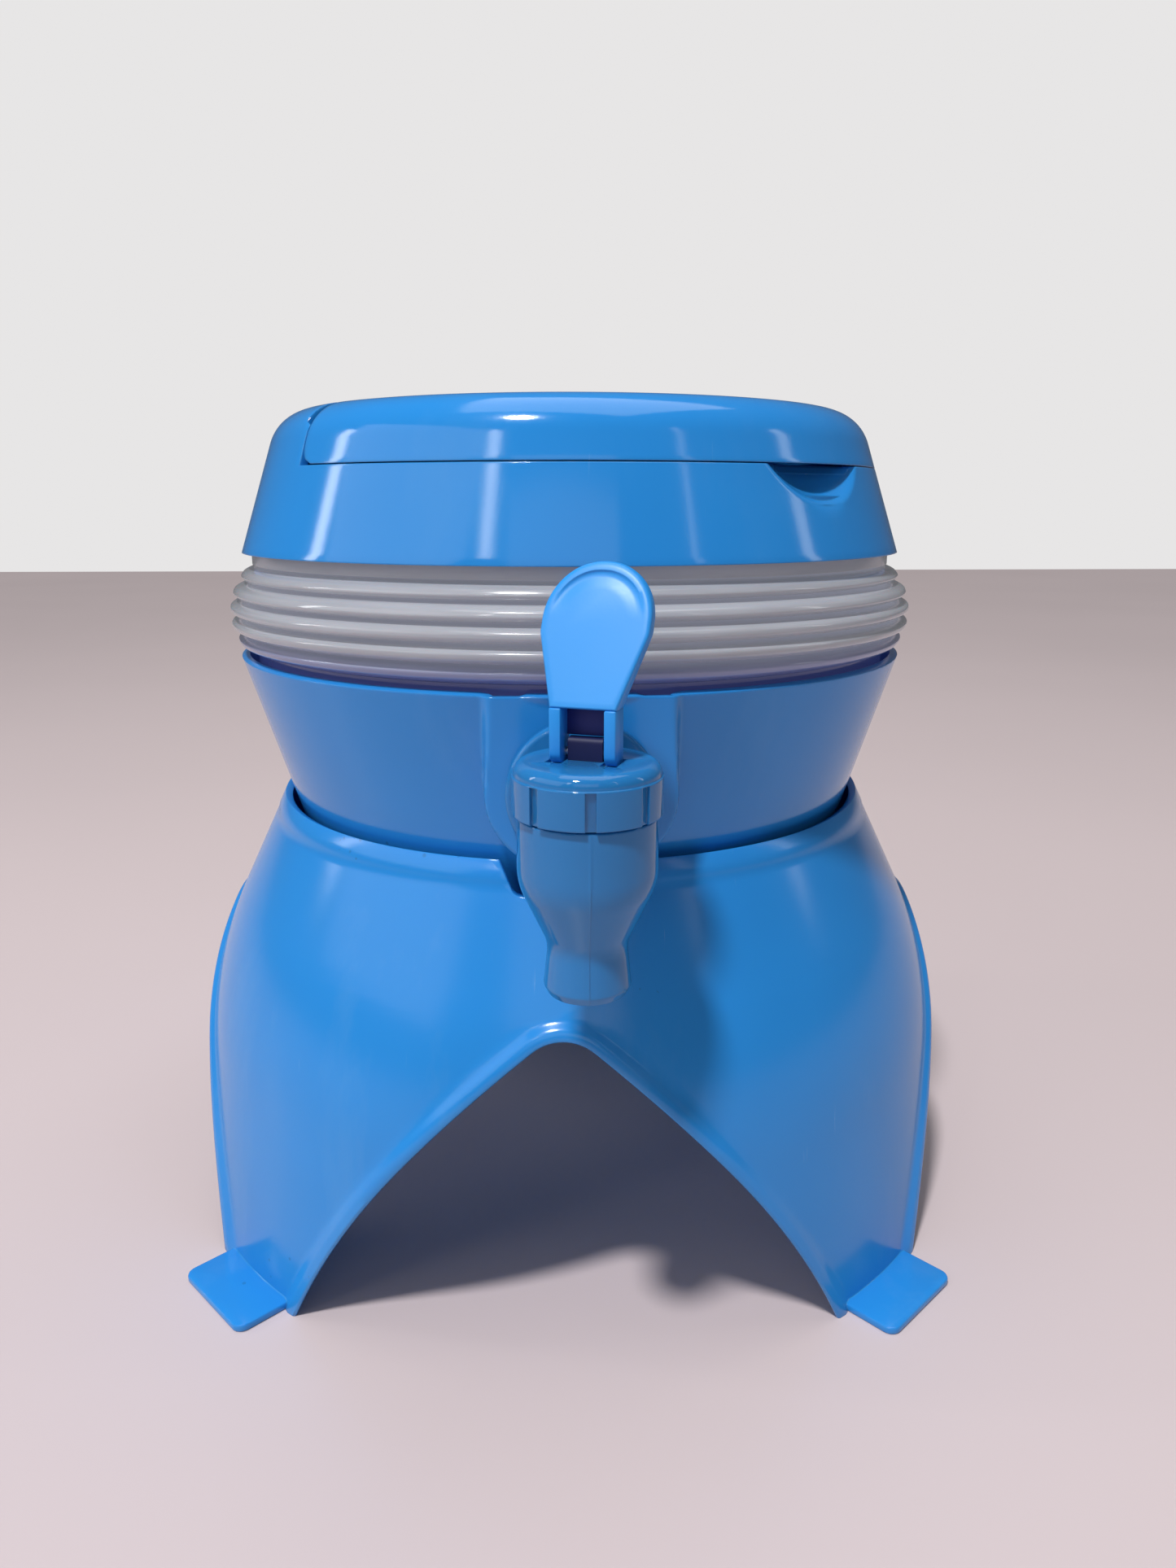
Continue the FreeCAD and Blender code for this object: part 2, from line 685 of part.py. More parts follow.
def make_collar():
    shell = revolved("collar_shell", collar_profile(collar_base, "collar_plate"))
    wide = "(collar_radius + collar_height)"
    lid_room = box("lid_room", (f"-{wide}", wide), (f"-{wide}", "hinge_offset + seam_gap"),
                   (seam, f"{collar_top} + collar_plate"))
    roll_room = box("hinge_room", ("-collar_top_radius", "collar_top_radius"),
                    ("-hinge_offset", deck_edge),
                    (f"{hinge_height} - hinge_roll_radius - deck_gap",
                     f"{collar_top} + collar_plate"))
    half_deck = less("half_deck", shell, joined("lid_rooms", [lid_room, roll_room]))
    ledge_top_height = f"({gasket_top} + collar_plate)"
    thread_bore = "(neck_radius + thread_gap)"
    thread_skirt = revolved("thread_skirt", [
        (thread_bore, f"{bellows_top} + collar_lift_gap"),
        (f"{thread_bore} + thread_skirt_wall", f"{bellows_top} + collar_lift_gap"),
        (f"{thread_bore} + thread_skirt_wall", gasket_top),
        (thread_bore, gasket_top),
    ])
    ledge_edge = (f"collar_radius - ({ledge_top_height} - {collar_base}) * {collar_taper}"
                  " - collar_wall / 2")
    ledge = revolved("collar_ledge", [
        ("collar_ledge_bore_radius", gasket_top),
        (ledge_edge, gasket_top),
        (ledge_edge, ledge_top_height),
        ("collar_ledge_bore_radius", ledge_top_height),
    ])
    land_edge = f"collar_radius - seam_rise * {collar_taper} - collar_wall / 2"
    land_under = f"{seam} - collar_plate"
    spigot_top = f"{seam} + spigot_height"
    mouth = revolved("fill_mouth", [
        ("fill_radius", land_under),
        (land_edge, land_under),
        (land_edge, seam),
        ("fill_radius + spigot_wall", seam),
        ("fill_radius + spigot_wall", spigot_top),
        ("fill_radius", spigot_top),
    ])
    ears = []
    bores = []
    for side, low in (("left", "-(ear_position + ear_width)"), ("right", "ear_position")):
        ears.append(cylinder(f"ear_{side}", "x", "hinge_roll_radius", "ear_width",
                             low, "hinge_offset", hinge_height))
        ears.append(box(f"ear_{side}_web", (low, f"{low} + ear_width"),
                        ("hinge_offset", f"{deck_edge} + hinge_roll_radius"),
                        (f"{hinge_height} - hinge_roll_radius", f"{collar_top} - collar_plate / 2")))
        bores.append(cylinder(f"ear_{side}_bore", "x", "hinge_pin_radius + fit_gap", "ear_width",
                              low, "hinge_offset", hinge_height))
    scoop = ball("scoop_ball", "scoop_ball_radius", "0", "-scoop_reach", f"{seam} + scoop_rise")
    scoop_back = ball("scoop_back_ball", "scoop_ball_radius + collar_wall", "0", "-scoop_reach",
                      f"{seam} + scoop_rise")
    core = revolved("scoop_core", [
        ("0", ledge_top_height),
        (ledge_edge, ledge_top_height),
        (land_edge, seam),
        ("0", seam),
    ])
    backing = shared("scoop_backing", [scoop_back, core])
    whole = joined("collar_whole", [half_deck, thread_skirt, ledge, mouth, backing] + ears)
    collar = less("collar_cut", whole, joined("collar_cuts", [scoop] + bores))
    place(collar, turn="lid_azimuth")
    finish(collar, "collar")
    pin = cross_pin("lid_hinge_pin", "hinge_pin_radius",
                    "ear_position + ear_width - hinge_pin_radius", "hinge_offset", hinge_height)
    place(pin, turn="lid_azimuth")


def make_lid():
    lid_base = f"({seam} + seam_gap)"
    shell = revolved("lid_shell", collar_profile(lid_base, "collar_plate"))
    wide = "(collar_radius + collar_height)"
    behind = box("behind_lid", (f"-{wide}", wide), ("hinge_offset - seam_gap", wide),
                 (f"{seam} - collar_plate", f"{collar_top} + collar_plate"))
    ear_rooms = []
    for side, low in (("left", "-(ear_position + ear_width + ear_gap)"),
                      ("right", "ear_position - ear_gap")):
        ear_rooms.append(box(f"ear_{side}_room", (low, f"{low} + ear_width + 2 * ear_gap"),
                             ("hinge_offset - hinge_roll_radius - ear_gap", "hinge_offset"),
                             (f"{hinge_height} - 2 * hinge_roll_radius",
                              f"{collar_top} + collar_plate")))
    roll_half = "(ear_position - ear_gap)"
    roll = cylinder("lid_roll", "x", "hinge_roll_radius", f"2 * {roll_half}",
                    f"-{roll_half}", "hinge_offset", hinge_height)
    bore = cylinder("lid_roll_bore", "x", "hinge_pin_radius + slide_gap", f"2 * {roll_half}",
                    f"-{roll_half}", "hinge_offset", hinge_height)
    half = less("half_lid", shell, joined("lid_cuts", [behind] + ear_rooms))
    lid = less("lid_bored", joined("lid_whole", [half, roll]), bore)
    place(lid, turn="lid_azimuth")
    finish(lid, "flip_lid")


def make_tap_body():
    neck_top_height = f"{cap_base} + barrel_neck_height"
    barrel = revolved("tap_barrel", [
        ("spout_bore_radius", "spout_height"),
        ("spout_end_radius", "spout_height"),
        ("spout_radius", "spout_height + spout_lip_rise"),
        ("waist_radius", "spout_height + waist_rise", "waist_round"),
        ("bulb_radius", "spout_height + bulb_rise", "bulb_round"),
        ("barrel_top_radius", f"{cap_base} - cap_gap"),
        ("barrel_neck_radius", f"{cap_base} - cap_gap"),
        ("barrel_neck_radius", neck_top_height),
        ("chamber_radius", neck_top_height),
        ("chamber_radius", "spout_height + chamber_rise"),
        ("valve_seat_radius", valve_seat),
        ("spout_bore_radius", valve_seat),
    ])
    place(barrel, y="-tap_reach")
    shank_start = "-tap_reach + (chamber_radius + barrel_neck_radius) / 2"
    shank_end = "-(pad_face - tub_wall - inner_washer_thickness - nut_thickness - shank_tail)"
    flange_face = "-(pad_face + outer_washer_thickness + flange_thickness)"
    shank = cylinder("shank_bar", "y", "shank_radius", f"{shank_end} - ({shank_start})",
                     "0", shank_start, "shank_height")
    cap_room = cylinder("cap_room", "z", "cap_radius + cap_gap", "cap_height",
                        "0", "-tap_reach", f"{cap_base} - cap_gap")
    flange = cylinder("flange_disc", "y", "flange_radius", "flange_thickness",
                      "0", flange_face, "shank_height")
    bore = cylinder("shank_bore", "y", "shank_bore_radius", f"{shank_end} + tap_reach",
                    "0", "-tap_reach", "shank_height")
    fitting = less("shank_trimmed", joined("shank_and_flange", [shank, flange]), cap_room)
    whole = joined("tap_body_whole", [barrel, fitting])
    finish(less("tap_body_bored", whole, bore), "tap_body")


def disc_on_shank(label, radius, thickness, front):
    # A washer on the shank, its front face a given distance before the dispenser's axis.
    body = new_body(label)
    turned(body, label + "_turn", [
        ("shank_radius + shank_gap", "0"),
        (radius, "0"),
        (radius, thickness),
        ("shank_radius + shank_gap", thickness),
    ])
    body.Placement = FreeCAD.Placement(FreeCAD.Vector(), axes["y"])
    bind(body, Placement__Base__y=f"-({front})", Placement__Base__z="shank_height")


def make_shank_fastening():
    disc_on_shank("outer_washer", "outer_washer_radius", "outer_washer_thickness",
                  "pad_face + outer_washer_thickness")
    disc_on_shank("inner_washer", "inner_washer_radius", "inner_washer_thickness",
                  "pad_face - tub_wall")
    nut = new_body("shank_nut")
    flat = "nut_flats / 2"
    corner = "nut_flats / 2 / cos(30)"
    hexagon = body_sketch(nut, "nut_outline", "XY_Plane")
    draw(hexagon, [
        (corner, "0"),
        (f"{corner} / 2", flat),
        (f"-{corner} / 2", flat),
        (f"-{corner}", "0"),
        (f"-{corner} / 2", f"-{flat}"),
        (f"{corner} / 2", f"-{flat}"),
    ])
    pushed(nut, "nut_block", hexagon, "Pad", "nut_thickness")
    hole = circle_sketch(nut, "nut_hole_outline", "XY_Plane", "nut_thickness",
                         "shank_radius + fit_gap", "0", "0")
    pushed(nut, "nut_hole", hole, "Pocket", "nut_thickness")
    nut.Placement = FreeCAD.Placement(FreeCAD.Vector(), axes["y"])
    bind(nut, Placement__Base__y="-(pad_face - tub_wall - inner_washer_thickness)",
         Placement__Base__z="shank_height")


def make_tap_cap():
    body = new_body("tap_cap")
    thread_top = f"{cap_base} + barrel_neck_height + cap_gap"
    thread_bore = "barrel_neck_radius + thread_gap"
    turned(body, "cap_turn", [
        (thread_bore, cap_base),
        ("cap_radius", cap_base),
        ("cap_radius", cap_crown, "cap_round"),
        ("0", cap_crown),
        ("0", spring_ceiling),
        ("spring_pocket_radius", spring_ceiling),
        ("spring_pocket_radius", thread_top),
        (thread_bore, thread_top),
    ])
    groove_sketch = body_sketch(body, "groove_outline", "XY_Plane", cap_base)
    half = "cap_groove_width / 2"
    draw(groove_sketch, [
        (f"-{half}", "-(cap_radius + cap_groove_depth)"),
        (half, "-(cap_radius + cap_groove_depth)"),
        (half, "-(cap_radius - cap_groove_depth)"),
        (f"-{half}", "-(cap_radius - cap_groove_depth)"),
    ])
    groove = pushed(body, "grip_groove", groove_sketch, "Pocket", "cap_skirt", True)
    grooves = body.newObject("PartDesign::PolarPattern", "grip_grooves")
    grooves.Originals = [groove]
    grooves.Axis = (groove_sketch, ["N_Axis"])
    grooves.Angle = 360
    bind(grooves, Occurrences="cap_groove_count")
    body.Tip = grooves
    slot_sketch = body_sketch(body, "tongue_slot_outline", "XY_Plane", cap_crown)
    slot_x = "tongue_width / 2 + slide_gap"
    slot_y = "tongue_thickness / 2 + slide_gap"
    draw(slot_sketch, [
        (f"-({slot_x})", f"-({slot_y})"),
        (slot_x, f"-({slot_y})"),
        (slot_x, slot_y),
        (f"-({slot_x})", slot_y),
    ])
    pushed(body, "tongue_slot", slot_sketch, "Pocket", "cap_top + leg_pocket_depth")
    for side, sign in (("left", "-"), ("right", "")):
        near = f"{sign}(lever_window_width / 2 - leg_pocket_gap)"
        far = f"{sign}(lever_base_width / 2 + leg_pocket_gap)"
        low, high = (far, near) if sign else (near, far)
        front = f"-({leg_front} + 2 * leg_pocket_gap)"
        back = f"{leg_back} + leg_pocket_gap"
        pocket = body_sketch(body, f"leg_pocket_{side}_outline", "XY_Plane", cap_crown)
        draw(pocket, [(low, front), (high, front), (high, back), (low, back)])
        pushed(body, f"leg_pocket_{side}", pocket, "Pocket", "leg_pocket_depth")
    place(body, y="-tap_reach", turn="lever_turn")


def make_valve():
    cup = new_body("seat_cup")
    socket = f"{stem_shoulder} - spigot_socket_depth"
    turned(cup, "cup_turn", [
        ("0", valve_seat),
        ("cup_nose_radius", valve_seat),
        ("cup_radius", f"{valve_seat} + cup_nose_height"),
        ("cup_radius", stem_shoulder),
        ("stem_spigot_radius + fit_gap", stem_shoulder),
        ("stem_spigot_radius + fit_gap", socket),
        ("0", socket),
    ])
    place(cup, y="-tap_reach")
    shoulder_top = f"{stem_shoulder} + stem_shoulder_height"
    round_top = f"{spring_ceiling} - valve_lift - cap_gap"
    rod = revolved("stem_rod", [
        ("0", f"{socket} + fit_gap"),
        ("stem_spigot_radius", f"{socket} + fit_gap"),
        ("stem_spigot_radius", stem_shoulder),
        ("stem_shoulder_radius", stem_shoulder),
        ("stem_shoulder_radius", shoulder_top),
        ("stem_radius", shoulder_top),
        ("stem_radius", round_top),
        ("0", round_top),
    ])
    tongue = prism("stem_tongue", "side", [
        ("-tongue_thickness / 2", f"{round_top} - cap_top"),
        ("tongue_thickness / 2", f"{round_top} - cap_top"),
        ("tongue_thickness / 2", f"{pin_height} + tongue_rise", "tongue_thickness / 3"),
        ("-tongue_thickness / 2", f"{pin_height} + tongue_rise", "tongue_thickness / 3"),
    ], "tongue_width / 2", "tongue_width / 2")
    eye = cylinder("stem_eye", "x", "lever_pin_radius + fit_gap", "tongue_width",
                   "-tongue_width / 2", "0", pin_height)
    stem = less("stem_eyed", joined("stem_whole", [rod, tongue]), eye)
    place(stem, y="-tap_reach", turn="lever_turn")
    finish(stem, "plunger_stem")
    pin = cross_pin("lever_pin", "lever_pin_radius", "lever_base_width / 2 - slide_gap", "0",
                    pin_height)
    place(pin, y="-tap_reach", turn="lever_turn")


def make_spring():
    body = new_body("plunger_spring")
    start = f"{stem_shoulder} + stem_shoulder_height + spring_wire / 2 + fit_gap"
    wire = body_sketch(body, "spring_wire_outline", "XZ_Plane")
    half = "spring_wire / 2"
    side = "spring_wire / 2 * sin(60)"
    draw(wire, [
        ("spring_radius", f"{start} - {half}"),
        (f"spring_radius + {side}", f"{start} - {half} / 2"),
        (f"spring_radius + {side}", f"{start} + {half} / 2"),
        ("spring_radius", f"{start} + {half}"),
        (f"spring_radius - {side}", f"{start} + {half} / 2"),
        (f"spring_radius - {side}", f"{start} - {half} / 2"),
    ])
    coil = body.newObject("PartDesign::AdditiveHelix", "spring_coil")
    coil.Profile = wire
    coil.ReferenceAxis = (wire, ["V_Axis"])
    coil.Mode = "height-turns-angle"
    height = f"{spring_ceiling} - spring_wire / 2 - fit_gap - ({start})"
    bind(coil, Height=height, Turns="spring_turns")
    place(body, y="-tap_reach")
    gap = value(f"({height}) / spring_turns - spring_wire")
    print(f"plunger_spring least gap between turns {gap:.2f} mm")


def make_lever():
    # Side profile: upright legs with a rolling heel, and a paddle that leans back and thins.
    top = f"({lever_base} + lever_height)"
    crease = f"({lever_base} + lever_leg_height)"
    lean_back = "(lever_height - lever_leg_height) * tan(lever_lean)"
    side = prism("lever_side", "side", [
        (f"-{leg_front}", lever_base, heel_round),
        (f"-{leg_front}", crease),
        (f"-{leg_front} + {lean_back}", top),
        (f"-{leg_front} + {lean_back} + lever_tip_thickness", f"{top} - lever_tip_thickness / 4"),
        (leg_back, crease),
        (leg_back, lever_base),
    ], "lever_head_width", "lever_head_width")
    # Front outline: tapered shank that swells into a round head.
    head = "lever_head_width / 2"
    base = "lever_base_width / 2"
    front = prism("lever_front", "front", [
        (f"-({base})", f"{lever_base} - lever_gap"),
        (base, f"{lever_base} - lever_gap"),
        (base, crease),
        (head, f"{top} - {head} * 1.2", "lever_head_width / 4"),
        (head, top, f"{head} * 0.97"),
        (f"-({head})", top, f"{head} * 0.97"),
        (f"-({head})", f"{top} - {head} * 1.2", "lever_head_width / 4"),
        (f"-({base})", crease),
    ], "lever_height", "lever_height")
    window_half = "lever_window_width / 2"
    deep = "lever_height"
    window = box("lever_window", (f"-{window_half}", window_half),
                 (f"-{deep}", f"{leg_back} - lever_web_thickness"),
                 (f"{lever_base} - lever_gap", crease))
    fork = box("lever_fork", (f"-{window_half}", window_half), (f"-{deep}", deep),
               (f"{lever_base} - lever_gap", f"{crease} - lever_web_drop"))
    eye = cylinder("lever_eye", "x", "lever_pin_radius + slide_gap", "lever_base_width",
                   "-lever_base_width / 2", "0", pin_height)
    blank = shared("lever_blank", [side, front])
    lever = less("lever_forked", blank, joined("lever_cuts", [window, fork, eye]))
    place(lever, y="-tap_reach", turn="lever_turn")
    finish(lever, "tap_lever")


make_stand()
make_tub()
make_bellows()
make_rings()
make_collar()
make_lid()
make_tap_body()
make_shank_fastening()
make_tap_cap()
make_valve()
make_spring()
make_lever()
doc.recompute()

failed = [o.Label for o in doc.Objects if "Invalid" in o.State or "Error" in o.State]
if failed:
    raise SystemExit("failed objects: " + ", ".join(failed))
for label, piece in pieces.items():
    if piece.Shape.isNull() or not piece.Shape.isValid():
        raise SystemExit("bad shape: " + label)

os.makedirs("parts", exist_ok=True)
for label, piece in pieces.items():
    piece.Shape.exportStep(f"parts/{label}.step")
    bounds = piece.Shape.BoundBox
    print(f"{label}: {len(piece.Shape.Solids)} solid, {piece.Shape.Volume / 1000:.2f} cm3, "
          f"z {bounds.ZMin:.1f} to {bounds.ZMax:.1f}")
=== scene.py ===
from math import asin, atan2, ceil, cos, hypot, pi, radians, sin, sqrt, tan
import bmesh
import bpy
from mathutils import Matrix, Vector


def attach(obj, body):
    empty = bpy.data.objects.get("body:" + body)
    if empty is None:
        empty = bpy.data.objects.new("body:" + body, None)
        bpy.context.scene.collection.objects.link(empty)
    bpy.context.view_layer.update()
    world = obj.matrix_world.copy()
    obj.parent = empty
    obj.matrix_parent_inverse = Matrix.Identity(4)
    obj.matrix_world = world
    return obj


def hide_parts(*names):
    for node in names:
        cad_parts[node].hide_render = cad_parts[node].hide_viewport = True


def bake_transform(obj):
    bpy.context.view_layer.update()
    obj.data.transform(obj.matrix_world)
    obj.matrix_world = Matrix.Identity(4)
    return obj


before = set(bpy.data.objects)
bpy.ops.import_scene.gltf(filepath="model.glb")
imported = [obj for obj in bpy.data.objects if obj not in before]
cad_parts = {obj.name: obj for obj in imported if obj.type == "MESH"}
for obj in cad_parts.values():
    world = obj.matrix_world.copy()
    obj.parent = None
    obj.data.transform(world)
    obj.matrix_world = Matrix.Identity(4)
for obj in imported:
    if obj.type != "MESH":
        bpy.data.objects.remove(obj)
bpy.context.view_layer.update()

mm = 0.001  # sizes below are millimetres, meshes are metres
print("frame loaded:", len(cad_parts), "nodes")


# Node trees

class Wire:
    # one node socket that can stand in a sum
    def __init__(self, graph, socket):
        self.graph = graph
        self.socket = socket

    def maths(self, operation, first, second):
        return self.graph.add("ShaderNodeMath", {0: first, 1: second}, {"operation": operation})

    def __add__(self, other):
        return self.maths("ADD", self, other)

    def __radd__(self, other):
        return self.maths("ADD", other, self)

    def __sub__(self, other):
        return self.maths("SUBTRACT", self, other)

    def __rsub__(self, other):
        return self.maths("SUBTRACT", other, self)

    def __mul__(self, other):
        return self.maths("MULTIPLY", self, other)

    def __rmul__(self, other):
        return self.maths("MULTIPLY", other, self)

    def __truediv__(self, other):
        return self.maths("DIVIDE", self, other)

    def __rtruediv__(self, other):
        return self.maths("DIVIDE", other, self)

    def __pow__(self, other):
        return self.maths("POWER", self, other)

    def __gt__(self, other):
        return self.maths("GREATER_THAN", self, other)

    def __lt__(self, other):
        return self.maths("LESS_THAN", self, other)


class Graph:
    def __init__(self, tree):
        self.tree = tree

    def add(self, kind, sockets=None, settings=None, out=0):
        node = self.tree.nodes.new(kind)
        for name, value in (settings or {}).items():
            if name == "stops":
                for stop, (place, tone) in zip(node.color_ramp.elements, value):
                    stop.position = place
                    stop.color = (tone, tone, tone, 1)
            else:
                setattr(node, name, value)
        for key, value in (sockets or {}).items():
            if isinstance(value, Wire):
                self.tree.links.new(value.socket, node.inputs[key])
            else:
                node.inputs[key].default_value = value
        return Wire(self, node.outputs[out]) if node.outputs else None

    def noise(self, place, scale, detail=3.0, roughness=0.5):
        return self.add("ShaderNodeTexNoise",
                        {"Vector": place, "Scale": scale, "Detail": detail, "Roughness": roughness})

    def ramp(self, value, low, high):
        return self.add("ShaderNodeValToRGB", {"Fac": value}, {"stops": ((low, 0), (high, 1))})

    def blend(self, share, first, second):
        # 6 and 7 are the node's colours, and 2 its colour out
        return self.add("ShaderNodeMix", {0: share, 6: first, 7: second}, {"data_type": "RGBA"}, 2)

    def stretched(self, place, scale, turn=(0, 0, 0)):
        return self.add("ShaderNodeMapping", {"Vector": place, "Scale": scale, "Rotation": turn})

    def bump(self, strength, height, distance=0.0002, **more):
        return self.add("ShaderNodeBump",
                        {"Strength": strength, "Distance": distance, "Height": height, **more})


def tinted(colour, factor):
    return tuple(min(1, c * factor) for c in colour) + (1,)


def shades(look):
    return [tinted(look["colour"], factor) for factor in look["shade"]]


# Finishes

def newFinish(name):
    material = bpy.data.materials.new(name)
    material.use_nodes = True
    material.node_tree.nodes.clear()
    graph = Graph(material.node_tree)
    place = graph.add("ShaderNodeTexCoord", out="Object")
    return material, graph, place


def closeFinish(graph, sockets):
    shader = graph.add("ShaderNodeBsdfPrincipled", sockets)
    graph.add("ShaderNodeOutputMaterial", {"Surface": shader})


blueLook = {
    "colour": (0.020, 0.245, 0.66), "shade": (0.95, 1.04), "rubbed": (0.16, 0.38, 0.68),
    "roughness": 0.12, "grainRough": 0.05, "hairRough": 0.12, "wear": 0.12, "scratch": 0.25,
    "ripple": 0.35, "bump": 0.12, "edge": 0.5, "bend": 1.49,
    "depth": 0.06, "deep": 0.002, "scatter": (0.1, 0.5, 1.0),
    "speckScale": 300, "speckSize": 0.16, "speckRare": 0.72, "speck": 0.3,
    "speckColour": (0.015, 0.05, 0.12),
}
noiseScale = {"cloud": 16, "grain": 1400, "ripple": 90, "rare": 31}
# how the noise that makes streaks is stretched and turned
smearStretch = ((34, 34, 7), (0.4, 0.2, 0.3))
hairStretch = ((900, 60, 60), (0.3, 0.9, 0.5))


def mouldedPlastic(name, **changes):
    look = {**blueLook, **changes}
    material, graph, place = newFinish(name)
    cloud = graph.noise(place, noiseScale["cloud"], 2)
    grain = graph.noise(place, noiseScale["grain"], 2)
    ripple = graph.noise(place, noiseScale["ripple"], 2)
    smear = graph.noise(graph.stretched(place, *smearStretch), 1, 6, 0.62)
    rubbed = graph.ramp(smear, 0.56, 0.78)
    fine = graph.noise(graph.stretched(place, *hairStretch), 1, 2)
    hairline = graph.ramp(fine, 0.74, 0.8) * graph.ramp(cloud, 0.45, 0.62)
    cell = graph.add("ShaderNodeTexVoronoi", {"Vector": place, "Scale": look["speckScale"]})
    rare = graph.noise(place, noiseScale["rare"], 1)
    speck = (cell < look["speckSize"]) * (rare > look["speckRare"])
    rubbedColour = look["rubbed"] + (1,)
    base = graph.blend(graph.ramp(cloud, 0.3, 0.7), *shades(look))
    worn = graph.blend(rubbed * look["wear"], base, rubbedColour)
    scored = graph.blend(hairline * look["scratch"], worn, rubbedColour)
    final = graph.blend(speck * look["speck"], scored, look["speckColour"] + (1,))
    roughness = (look["roughness"] + look["grainRough"] * grain + look["wear"] * 0.5 * rubbed
                 + look["hairRough"] * hairline)
    height = grain * 0.25 + ripple * look["ripple"]
    # mould radii too fine for the mesh, under the surface ripple
    edge = graph.add("ShaderNodeBevel", {"Radius": look["edge"] * mm}, {"samples": 4})
    normal = graph.bump(look["bump"], height, Normal=edge)
    closeFinish(graph, {"Base Color": final, "Roughness": roughness, "Normal": normal,
                        "IOR": look["bend"], "Subsurface Weight": look["depth"],
                        "Subsurface Radius": look["scatter"], "Subsurface Scale": look["deep"]})
    return material


standBlue = mouldedPlastic("standBlue", wear=0.2, roughness=0.16, depth=0.12, scratch=0.4, speckRare=0.69)
shellBlue = mouldedPlastic("shellBlue")
lidBlue = mouldedPlastic("lidBlue", roughness=0.08, wear=0.08)
tapBlue = mouldedPlastic("tapBlue", colour=(0.018, 0.185, 0.48), roughness=0.03, edge=0.35, wear=0.06,
                         depth=0.15, speck=0.1)
leverBlue = mouldedPlastic("leverBlue", colour=(0.018, 0.29, 0.79), roughness=0.36, edge=0.3, wear=0.05)
# painted shade: this navy on the lever's web stands in for the shade inside the lever's window
paintedShadeNavy = mouldedPlastic("paintedShadeNavy", colour=(0.007, 0.014, 0.14), rubbed=(0.02, 0.04, 0.2),
                             edge=0.2, roughness=0.5)
stemNavy = mouldedPlastic("stemNavy", colour=(0.003, 0.006, 0.06), rubbed=(0.01, 0.02, 0.1),
                          edge=0.2, roughness=0.5)
whitePlastic = mouldedPlastic("whitePlastic", colour=(0.66, 0.66, 0.68), rubbed=(0.5, 0.5, 0.52),
                              depth=0.1, roughness=0.38)


milkyLook = {
    "colour": (0.37, 0.385, 0.43), "shade": (0.96, 1.05), "flow": (30, 30, 260),
    "roughness": 0.08, "cover": 0.86, "bump": 0.08, "bend": 1.45, "coat": 0.5, "coatRough": 0.05,
    "through": (0.05, 0.08, 0.36), "tint": 0.85,  # painted shade, tinted with the tub's blue, low down where the sleeve sinks into the tub
    "foldGlowColour": (0.80, 0.82, 0.98), "paintedGlow": 0.13,  # painted glow: the sleeve emits its own colour, paler in the folds, in place of light scattered in the wall
}


def milkyPlastic(name, look):
    material, graph, place = newFinish(name)
    cloud = graph.noise(place, 24, 3)
    flow = graph.noise(graph.stretched(place, look["flow"]), 1, 4, 0.6)
    haze = graph.ramp(flow, 0.35, 0.7)
    plain = graph.blend(haze, *shades(look))
    # painted shade: the colour turns dark blue low down, where the sleeve sits in the tub's shade
    sunk = graph.add("ShaderNodeAttribute", None, {"attribute_name": "sunk"}, "Fac")
    inTub = graph.ramp(sunk, 0, 1)
    base = graph.blend(inTub * look["tint"], plain, look["through"] + (1,))
    # painted glow: the sleeve's colour, paler in the folds, is emitted though it is no lamp
    fold = graph.add("ShaderNodeAttribute", None, {"attribute_name": "fold"}, "Fac")
    lit = graph.blend(fold * (1 - inTub), base, look["foldGlowColour"] + (1,))
    roughness = look["roughness"] + 0.12 * cloud
    height = flow * 0.15 + graph.noise(place, 700, 2) * 0.3
    closeFinish(graph, {"Base Color": base, "Roughness": roughness, "IOR": look["bend"],
                        "Normal": graph.bump(look["bump"], height),
                        "Alpha": look["cover"] + 0.03 * haze,
                        "Coat Weight": look["coat"], "Coat Roughness": look["coatRough"],
                        "Subsurface Weight": 0.1, "Subsurface Scale": 0.003,
                        "Emission Color": lit, "Emission Strength": look["paintedGlow"]})
    return material


def rubber(name, colour):
    material, graph, place = newFinish(name)
    grain = graph.noise(place, 600, 4)
    base = graph.blend(grain, tinted(colour, 0.85), tinted(colour, 1.05))
    closeFinish(graph, {"Base Color": base, "Roughness": 0.55 + 0.2 * grain,
                        "Normal": graph.bump(0.2, grain)})
    return material


def drawnSteel(name):
    material, graph, place = newFinish(name)
    lines = graph.noise(graph.stretched(place, (2400, 2400, 60)), 1, 3)
    base = graph.blend(lines, (0.46, 0.46, 0.47, 1), (0.68, 0.68, 0.69, 1))
    closeFinish(graph, {"Base Color": base, "Metallic": 1.0, "Roughness": 0.22 + 0.2 * lines,
                        "Normal": graph.bump(0.1, lines, 0.0001)})
    return material


milky = milkyPlastic("milkyBellows", milkyLook)
sealRubber = rubber("sealRubber", (0.62, 0.62, 0.60))
steel = drawnSteel("steel")
print("finishes ready")


# Mesh helpers

crossways = Matrix(((0, 0, 1, 0), (1, 0, 0, 0), (0, 1, 0, 0), (0, 0, 0, 1)))


def spread(low, high, count):
    return [low + (high - low) * k / count for k in range(count + 1)]


def smoothed(value, share):
    return value * share * share * (3 - 2 * share)


